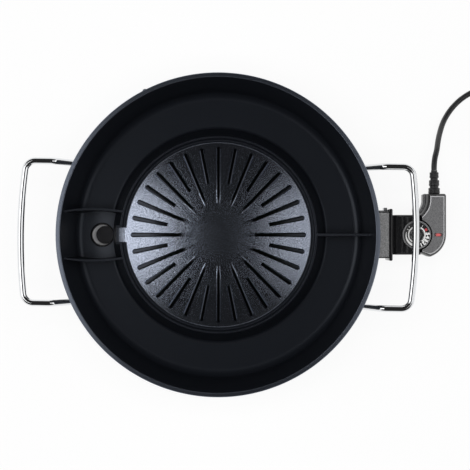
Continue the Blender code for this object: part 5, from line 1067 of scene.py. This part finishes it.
def nose_outline(inset):
    """The nose seen from above, drawn in by an inset: a rectangle that ends in the dial's well."""
    front = SHELL_FRONT_X - inset
    well = DIAL_WELL - inset
    opening = acos((front - DIAL_X) / well)
    half = NOSE_HALF_WIDTH - inset
    round_corner = max(0.0014 - inset, 0.0004)
    left = NOSE_SHOULDER_X + inset + round_corner
    return [
        *arc((left, -half + round_corner), round_corner, pi, pi * 1.5, 5),
        (front, -half),
        *arc((DIAL_X, 0), well, -opening, opening, 40),
        (front, half),
        *arc((left, half - round_corner), round_corner, pi / 2, pi, 5),
    ]


def drill(piece, radius, run, y, z, steps=32):
    """Bore a hole along X between two x."""
    bore = turned("bore", [(radius, run[0]), (radius, run[1])], steps)
    cut(piece, apply_place(bore, (0, y, z), (0, pi / 2, 0)))


nose_levels = [
    (0.0010, NOSE_BASE_Z), (0, NOSE_BASE_Z + 0.0010), (0.0002, 0.0630), (0.0006, 0.0648),
    (0.0012, 0.0657), (0.0017, 0.0660), (0.0021, 0.0663), (0.0024, 0.0664), (0.0027, NOSE_TOP_Z),
    (0.0031, NOSE_TOP_Z),
]
nose = stacked("controller_nose", nose_outline, nose_levels)
combine(nose, block("tongue", (0.1940, 0.2200), 0.0242, (0.0383, 0.0617), 0.0012))
cut(nose, block("hollow", (0.2200, 0.2443), 0.0205, (NOSE_BASE_Z - 0.004, 0.0620)))
for y, radius in ((TERMINAL_SPREAD, 0.0045), (-TERMINAL_SPREAD, 0.0045), (0, 0.0028)):
    drill(nose, radius, (0.190, 0.222), y, SOCKET_AXIS_Z)
cut(nose, post((DIAL_X, 0, 0.060), NOSE_TOP_Z + 0.004, 0.0033))
gloss, place = finish("gloss_black_plastic", (0.008, 0.008, 0.009), 0.10)
swirl = place.noise(420)
swirl.tint((0.006, 0.006, 0.007), (0.012, 0.012, 0.013)).into("Base Color")
(swirl * 0.10 + 0.06).into("Roughness")
place.noise(90).relief(0.00006)
fit(settle(nose, 32), "controller", "gloss_black", gloss, "nose_block")

# The dial: a turned-looking knob of satin black plastic with a star grip, pressed on the
# thermostat's shaft. Its marks are pad-printed: a ring, a tapering arc, a red point and the steps.
DIAL_RADIUS = 0.0175
DIAL_LOW_Z = 0.0668
DIAL_TOP_Z = 0.0710
DIAL_BORE = 0.0033
GRIP_RADIUS = 0.0088
GRIP_TOP_Z = 0.0755
GRIP_FLUTES = 8
FLUTE_RADIUS = 0.0014
PRINT_HEIGHT = 0.00012
PRINT_Z = DIAL_TOP_Z - 0.00045
RING_RADII = ((0.0108, 0.0108), (0.0092, 0.0092))
DIGIT_SIZE = 0.0064
DIGIT_WEIGHT = 0.0004
DIGIT_RADIUS = 0.0133
DIGIT_Z = DIAL_TOP_Z - 0.00037

knob_profile = [
    (DIAL_BORE, 0.0718), (DIAL_BORE, DIAL_LOW_Z), (DIAL_RADIUS - 0.0004, DIAL_LOW_Z),
    (DIAL_RADIUS, DIAL_LOW_Z + 0.0004), (DIAL_RADIUS, DIAL_TOP_Z - 0.0012),
    (DIAL_RADIUS - 0.0002, DIAL_TOP_Z - 0.0005), (DIAL_RADIUS - 0.0006, DIAL_TOP_Z - 0.0001),
    (DIAL_RADIUS - 0.0010, DIAL_TOP_Z), (DIAL_RADIUS - 0.0016, DIAL_TOP_Z - 0.0002),
    (DIAL_RADIUS - 0.0022, DIAL_TOP_Z - 0.0004), (GRIP_RADIUS + 0.0003, DIAL_TOP_Z - 0.0004),
    (GRIP_RADIUS, DIAL_TOP_Z), (GRIP_RADIUS - 0.0003, GRIP_TOP_Z - 0.0009),
    (GRIP_RADIUS - 0.0006, GRIP_TOP_Z - 0.0003), (GRIP_RADIUS - 0.0012, GRIP_TOP_Z),
    (0.0048, GRIP_TOP_Z), (0.0040, GRIP_TOP_Z - 0.0004), (0.0010, GRIP_TOP_Z - 0.0005),
]
knob = turned("dial_star_knob", knob_profile, 96)
for n in range(GRIP_FLUTES):
    a = 2 * pi * n / GRIP_FLUTES
    foot = (GRIP_RADIUS * cos(a), GRIP_RADIUS * sin(a), DIAL_TOP_Z + 0.0008)
    cut(knob, post(foot, GRIP_TOP_Z + 0.002, FLUTE_RADIUS, 24))
satin, place = finish("satin_black_plastic", (0.009, 0.009, 0.010), 0.35)
grain = place.noise(1900)
upright = place.upright()
# Painted highlight: the knob's sloping bevels are painted light grey, as a glint along its edges.
painted_bevel_glint = upright.between(0.35, 0.60) * (1 - upright.between(0.93, 0.985))
black = grain.tint((0.006, 0.006, 0.007), (0.014, 0.014, 0.015))
(painted_bevel_glint * 0.75).tint(black, (0.42, 0.42, 0.43)).into("Base Color")
(grain * 0.15 + 0.28).into("Roughness")
grain.relief(0.00003)
fit(settle(knob, 30, PAN_X + DIAL_X), "dial", "dark_plastic", satin, "dial_knob")

ink = grained(
    "white_ink", (0.90, 0.90, 0.89), 0.45, (2600, 3.0), (0.84, 0.84, 0.84), (0.93, 0.93, 0.92),
    depth=0.00002,
)
red_ink = grained(
    "red_ink", (0.45, 0.05, 0.06), 0.45, (2600, 3.0), (0.34, 0.03, 0.04), (0.55, 0.07, 0.08)
)
PRINTED = (
    ("dial_ring_left", RING_RADII, 110, 238, 40, ink),
    ("dial_ring_right", RING_RADII, -52, 62, 40, ink),
    ("dial_arc", ((0.0132, 0.0148), (0.0126, 0.0118)), 165, 246, 32, ink),
    ("dial_mark_1", ((0.0138, 0.0138), (0.0126, 0.0126)), 131, 136, 4, ink),
    ("dial_mark_2", ((0.0136, 0.0136), (0.0118, 0.0118)), 148, 150.5, 4, ink),
    ("dial_mark_3", ((0.0138, 0.0138), (0.0120, 0.0120)), 56, 58.5, 4, ink),
    ("dial_point", ((0.0142, 0.0142), (0.0114, 0.0114)), 22, 36, 8, red_ink),
)
for name, radii, start, end, count, material in PRINTED:
    sides = []
    for first, last in radii:
        side = []
        for share in [n / count for n in range(count + 1)]:
            radius = first + (last - first) * share
            a = radians(start + (end - start) * share)
            side.append((radius * cos(a), radius * sin(a)))
        sides.append(side)
    strip = [*sides[0], *reversed(sides[1])]
    mark = lofted(name, [[(x, y, z) for x, y in strip] for z in (PRINT_Z, PRINT_Z + PRINT_HEIGHT)])
    fit(apply_place(mark, (PAN_X + DIAL_X, 0, 0)), "dial", "dark_plastic", material)
for number, angle in ((5, 5), (4, -13), (3, -31), (2, -49), (1, -66)):
    digit = fresh(f"dial_digit_{number}", bpy.ops.object.text_add)
    digit.data.body = str(number)
    digit.data.size = DIGIT_SIZE
    digit.data.extrude = PRINT_HEIGHT / 2
    digit.data.offset = DIGIT_WEIGHT
    digit.data.align_x = "CENTER"
    digit.data.align_y = "CENTER"
    digit = as_mesh(digit)
    spot = Matrix.Rotation(radians(angle), 4, "Z") @ Matrix.Translation((DIGIT_RADIUS, 0, DIGIT_Z))
    digit.data.transform(Matrix.Translation((PAN_X + DIAL_X, 0, 0)) @ spot @ Matrix.Rotation(-pi / 2, 4, "Z"))
    fit(digit, "dial", "dark_plastic", ink)

# The pilot lamp's window: a lens moulded of red plastic and pressed up into its slot from inside,
# until the flange at its foot meets the shell's roof.
lens_run = (LAMP_X - LENS_LENGTH / 2, LAMP_X + LENS_LENGTH / 2)
lens = block("lamp_window", lens_run, LENS_WIDTH / 2, (0.0645, 0.0683), 0.0009, 4)
combine(lens, block("lens_flange", (0.2615, 0.2729), 0.0028, (0.0645, 0.0657), 0.0003, 2))
lens_red, place = finish("red_lens", (0.55, 0.02, 0.02), 0.12, Coat_Roughness=0.05)
ridges = place.node("TexWave", {"Vector": place, "Scale": 380.0}, output=1, bands_direction="X")
red = ridges.tint((0.52, 0.060, 0.065), (0.86, 0.20, 0.20))
# Painted glow of the lamp behind the lens: lighter red in its middle, dark towards both ends.
painted_glow_falloff = (place.axis("X") - (PAN_X + LAMP_X)).maths("ABSOLUTE").between(0.0010, 0.0038)
painted_glow_falloff.tint(red, (0.12, 0.055, 0.055)).into("Base Color")
ridges.relief(0.00004)
fit(settle(lens, 30), "controller", "red_lens", lens_red, "lamp_lens")

# The socket: a moulded housing screwed under the pan round the element's two pins. Its open mouth
# has a wider black flange that the controller's nose meets.
SOCKET_HALF = 0.0285
SOCKET_BASE_Z = 0.0340
SOCKET_BACK_X = 0.1835
SOCKET_FACE_X = 0.2117
HOLLOW_HALF = 0.0250
HOLLOW_RISE = (0.0375, 0.0625)

socket = block("socket_shroud", (0.1460, 0.1875), SOCKET_HALF, (SOCKET_BASE_Z, 0.0577), 0.0015, 4)
combine(socket, block("mouth", (SOCKET_BACK_X, 0.2114), SOCKET_HALF, (SOCKET_BASE_Z, 0.0660), 0.0022, 5))
cut(socket, block("rear", (0.1420, 0.1830), HOLLOW_HALF, (HOLLOW_RISE[0], 0.0545)))
cut(socket, block("front", (0.1870, 0.2160), HOLLOW_HALF, HOLLOW_RISE, 0.0008))
for y, radius in ((TERMINAL_SPREAD, 0.0029), (-TERMINAL_SPREAD, 0.0029), (0, 0.0030)):
    drill(socket, radius, (0.178, 0.192), y, SOCKET_AXIS_Z, 24)
flange = block("socket_flange", (0.2075, SOCKET_FACE_X), 0.0317, (0.0310, 0.0690), 0.0016, 5)
cut(flange, block("opening", (0.2040, 0.2160), HOLLOW_HALF, HOLLOW_RISE, 0.0008))
housing, place = finish("grey_housing", (0.20, 0.20, 0.203), 0.5)
speck = place.noise(900, detail=4.0)
speckled = speck.between(0.25, 0.75).tint((0.12, 0.12, 0.122), (0.34, 0.34, 0.345))
# Painted shade: the housing's steep faces are painted near black, and only its flat faces show the speckled
# grey.
place.upright().between(0.93, 0.99).tint((0.012, 0.012, 0.013), speckled).into("Base Color")
(speck * 0.14 + 0.42).into("Roughness")
speck.relief(0.00008)
fit(settle(socket, 32), "cooker", "dark_plastic", housing, "socket_housing")
fit(settle(flange, 32), "cooker", "dark_plastic", gloss)

# The heating element: an 8 mm steel tube packed round its coil, bent to an open ring and clamped
# under the grill island. The heat has darkened it, and its bare ends carry the two terminal pins.
ELEMENT_RADIUS = 0.004
ELEMENT_RING = 0.1207
ELEMENT_Z = 0.0637
ELEMENT_OPENING = radians(12)
ELEMENT_STEPS = 96
ELEMENT_END_X = 0.1597
LEAD_SHAPE = [(0, 0.50, 0.40), (0.09, 0.19, 0.80), (0.27, 0.03, 0.99), (0.55, 0, 1), (1, 0, 1)]

ring_points = []
for n in range(ELEMENT_STEPS + 1):
    a = ELEMENT_OPENING + (2 * pi - 2 * ELEMENT_OPENING) * n / ELEMENT_STEPS
    ring_points.append(Vector((ELEMENT_RING * cos(a), ELEMENT_RING * sin(a), ELEMENT_Z)))
first = ring_points[0]
knots = []
for out, side, down in LEAD_SHAPE:
    y = TERMINAL_SPREAD + (first.y - TERMINAL_SPREAD) * side
    z = ELEMENT_Z - (ELEMENT_Z - SOCKET_AXIS_Z) * down
    knots.append(Vector((first.x + (ELEMENT_END_X - first.x) * out, y, z)))
bend = smooth_route([ring_points[8], ring_points[4], first, *knots], 0.003)
skip = min(range(len(bend)), key=lambda n: (bend[n] - first).length)
near_lead = bend[skip + 1 :]
far_lead = [Vector((p.x, -p.y, p.z)) for p in near_lead]
element_route = [*reversed(near_lead), *ring_points, *far_lead]
element = as_mesh(wire_piece("heating_element_tube", element_route, ELEMENT_RADIUS, 6))
sheath, place = finish("heat_darkened_steel", (0.24, 0.225, 0.21), 0.42, Metallic=1.0)
scale = place.noise(120, detail=5.0)
scale.between(0.35, 0.7).tint((0.11, 0.10, 0.10), (0.33, 0.29, 0.25)).into("Base Color")
(scale * 0.3 + 0.28).into("Roughness")
place.noise(1500).relief(0.00003)
fit(settle(element, 40), "cooker", "element_sheath", sheath, "heating_element")

# The heat shield: a spun dish of aluminised steel under the element, screwed to the pan by its
# flange, with a step in its floor that stiffens it and notches for the leads and the drain tube.
SCREW_RING = 0.1335

shield_profile = [
    (0.002, 0.0405), (0.060, 0.0405), (0.062, 0.0409), (0.064, 0.0413), (0.116, 0.0413),
    (0.118, 0.0409), (0.120, 0.0405), (0.1225, 0.0405), (0.1236, 0.0409), (0.1243, 0.0417),
    (0.1276, 0.0555), (0.1282, 0.0562), (0.1290, 0.0565), (0.1372, 0.0565), (0.1378, 0.0567),
    (0.1380, 0.0571), (0.1378, 0.0575), (0.1372, 0.0577), (0.1284, 0.0577), (0.1274, 0.0573),
    (0.1266, 0.0563), (0.1231, 0.0422), (0.1224, 0.0417), (0.1200, 0.0417), (0.118, 0.0421),
    (0.116, 0.0425), (0.064, 0.0425), (0.062, 0.0421), (0.060, 0.0417), (0.002, 0.0417),
]
shield = turned("heat_shield_dish", shield_profile, 160)
cut(shield, post((-DRAIN_X, 0, 0.050), 0.062, 0.0193, 48))
cut(shield, block("lead_notch", (0.1127, 0.1420), 0.0250, (0.0415, 0.0617), 0.0015))
for angle in (90, 210, 330):
    spot = (SCREW_RING * cos(radians(angle)), SCREW_RING * sin(radians(angle)), 0.050)
    cut(shield, post(spot, 0.062, 0.0022))
sheet_steel, place = finish("aluminised_sheet", (0.52, 0.52, 0.53), 0.38, Metallic=1.0)
patch = place.noise(320, detail=5.0)
patch.tint((0.42, 0.42, 0.43), (0.60, 0.60, 0.61)).into("Base Color")
(patch * 0.16 + place.noise(30, detail=2.0) * 0.16 + 0.22).into("Roughness")
patch.relief(0.00002)
fit(settle(weld(shield), 30), "cooker", "sheet", sheet_steel, "heat_shield")

# The legs: four tapering posts of dark heat-proof plastic with shallow grips, each held by a long
# screw through its middle, with a pressed-in rubber pad that stands on the table.
LEG_PLACE = 0.152

leg_profile = [
    (0.0022, 0.0450), (0.0060, 0.0450), (0.0060, 0.0063), (0.0099, 0.0063), (0.0104, 0.0066),
    (0.0106, 0.0072), (0.0107, 0.0120), (0.0103, 0.0126), (0.0103, 0.0136), (0.0108, 0.0142),
    (0.0121, 0.0500), (0.0124, 0.0540), (0.0125, 0.0568), (0.0121, 0.0575), (0.0114, 0.0577),
    (0.0022, 0.0577),
]
pad_profile = [
    (0.0015, 0.0140), (0.0052, 0.0140), (0.0057, 0.0134), (0.0057, 0.0061), (0.0104, 0.0061),
    (0.0109, 0.0057), (0.0110, 0.0050), (0.0110, 0.0018), (0.0107, 0.0007), (0.0099, 0),
    (0.0075, 0), (0.0068, 0.0006), (0.0015, 0.0006),
]
leg_model = shade(turned("leg_model", leg_profile, 64, bored=True), 35)
pad_model = shade(turned("pad_model", pad_profile, 64), 35)
pad_rubber = grained(
    "pad_rubber", (0.022, 0.022, 0.023), 0.75, (700, 4.0), (0.016, 0.016, 0.017), (0.040, 0.040, 0.041),
    depth=0.00010,
)
leg_plastic = grained(
    "heat_proof_plastic", (0.024, 0.024, 0.025), 0.45, (900, 4.0), (0.018, 0.018, 0.019),
    (0.034, 0.034, 0.036), (0.16, 0.36), 0.00006,
)
for n in range(1, 5):
    a = radians(90 * n - 45)
    spot = Matrix.Translation((PAN_X + LEG_PLACE * cos(a), LEG_PLACE * sin(a), 0))
    fit(copied(leg_model, f"leg_{n}_post", spot), "cooker", "dark_plastic", leg_plastic, f"leg_{n}")
    fit(copied(pad_model, f"leg_{n}_rubber_pad", spot), "cooker", "rubber", pad_rubber, f"foot_pad_{n}")
bpy.data.objects.remove(leg_model)
bpy.data.objects.remove(pad_model)

# The handle brackets: four blocks of the same heat-proof plastic that clamp the wire's feet under
# the pan, each drilled for the wire and held by two screws.
BRACKET_X = 0.1375
BRACKET_SCREW = 0.0105

for number, (side, end) in enumerate(((1, 1), (1, -1), (-1, 1), (-1, -1)), start=1):
    x, y = side * BRACKET_X, end * HANDLE_HALF_SPAN
    bracket_name = f"handle_bracket_{number}"
    bracket = block(f"{bracket_name}_block", (x - 0.009, x + 0.009), 0.0155, (0.0427, 0.0577), 0.0018, 4, y)
    drill(bracket, 0.0043, (x - 0.013, x + 0.013), y, HANDLE_SEAT_Z, 40)
    for screw_y in (y - BRACKET_SCREW, y + BRACKET_SCREW):
        head = turned("screw_head", [(0.0036, 0.0408), (0.0036, 0.0420), (0.0030, 0.0428)], 32)
        head.data.transform(Matrix.Translation((x, screw_y, 0)))
        combine(bracket, head)
        for half_x, half_y in ((0.0022, 0.0004), (0.0004, 0.0022)):
            cut(bracket, block("cross", (x - half_x, x + half_x), half_y, (0.0400, 0.0416), y=screw_y))
    bracket.data.transform(handles_turn)
    fit(shade(bracket), "cooker", "dark_plastic", leg_plastic, bracket_name)

# The drip tray: a deep-drawn tray of black-enamelled steel that slides out on its two rolled
# edges. Its pull is a downturned tab at the outer end.
TRAY_OUTER_X = -0.184
TRAY_INNER_X = -0.096
TRAY_HALF_WIDTH = 0.0300
TRAY_LIP_HALF = 0.0345
TRAY_BASE_Z = 0.0085
TRAY_LIP_RISE = (0.0320, 0.0333)
PULL_HALF = 0.0150


def tray_outline(inset):
    """A rectangle with round corners, drawn in by an inset."""
    round_corner = 0.006 - inset * 0.5
    low_x, high_x = TRAY_OUTER_X + inset, TRAY_INNER_X - inset
    half = TRAY_HALF_WIDTH - inset
    outline = []
    for x, y, start in ((high_x, half, 0), (low_x, half, 90), (low_x, -half, 180), (high_x, -half, 270)):
        centre = (x - copysign(round_corner, x - (low_x + high_x) / 2), y - copysign(round_corner, y))
        outline += arc(centre, round_corner, radians(start), radians(start + 90), 8)
    return outline


tray_levels = [
    (0.0045, TRAY_BASE_Z), (0.0022, TRAY_BASE_Z + 0.0006), (0.0012, TRAY_BASE_Z + 0.0022),
    (0.0002, TRAY_LIP_RISE[0]), (0.0002, 0.0335),
]
hollow_levels = [
    (0.0060, TRAY_BASE_Z + 0.0016), (0.0038, TRAY_BASE_Z + 0.0022), (0.0028, TRAY_BASE_Z + 0.0038),
    (0.0017, 0.0400),
]
tray = stacked("drip_tray_pan", tray_outline, tray_levels)
combine(tray, block("lip", (TRAY_OUTER_X + 0.0003, -0.0963), TRAY_LIP_HALF, TRAY_LIP_RISE, 0.0005))
combine(tray, block("pull", (-0.1940, -0.1830), PULL_HALF, TRAY_LIP_RISE, 0.0005))
combine(tray, block("tab", (-0.1948, -0.1932), PULL_HALF, (0.0255, 0.0335), 0.0006))
cut(tray, stacked("inside", tray_outline, hollow_levels))
enamel = grained(
    "black_enamel", (0.018, 0.018, 0.020), 0.22, (1100, 3.0), (0.014, 0.014, 0.016),
    (0.028, 0.028, 0.031), (0.12, 0.16), 0.00005,
)
fit(settle(tray, 30), "drip_tray", "sheet", enamel, "drip_tray")

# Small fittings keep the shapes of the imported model: clips, screws, pins, probe and its pocket,
# runners, switch, clamp, lamp, contacts and shaft, each in its own metal or plastic.
brass = grained(
    "stamped_brass", (0.62, 0.47, 0.22), 0.3, (400, 4.0), (0.50, 0.36, 0.16), (0.70, 0.54, 0.27),
    (0.25, 0.18), Metallic=1.0,
)
zinc = grained(
    "zinc_plated_steel", (0.56, 0.57, 0.59), 0.3, (600, 4.0), (0.44, 0.45, 0.47), (0.64, 0.65, 0.67),
    (0.25, 0.18), 0.00002, Metallic=1.0,
)
steel = grained(
    "drawn_steel", (0.50, 0.50, 0.51), 0.3, (900, 3.0), (0.40, 0.40, 0.41), (0.56, 0.56, 0.57),
    (0.22, 0.18), 0.00002, Metallic=1.0,
)
cream = grained(
    "cream_thermoset", (0.70, 0.66, 0.55), 0.5, (800, 4.0), (0.62, 0.58, 0.48), (0.74, 0.70, 0.60),
    depth=0.00005,
)
neon = grained("neon_glass", (0.90, 0.55, 0.42), 0.08, (500, 3.0), (0.80, 0.42, 0.30), (0.95, 0.65, 0.52))
SMALL_FITTINGS = (
    (zinc, ("element_clip_", "shield_screw_", "leg_screw_", "shell_screw_", "tray_runner_", "earth_contact",
            "dial_shaft")),
    (steel, ("terminal_pin_", "temperature_probe", "probe_pocket")),
    (brass, ("contact_sleeve_",)),
    (cream, ("thermostat_switch", "cord_clamp")),
    (neon, ("pilot_lamp",)),
)
for material, starts in SMALL_FITTINGS:
    for name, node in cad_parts.items():
        if name.startswith(starts):
            node.data.materials.clear()
            node.data.materials.append(material)

sides = {"cad": cad_bounds, "visual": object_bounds()}
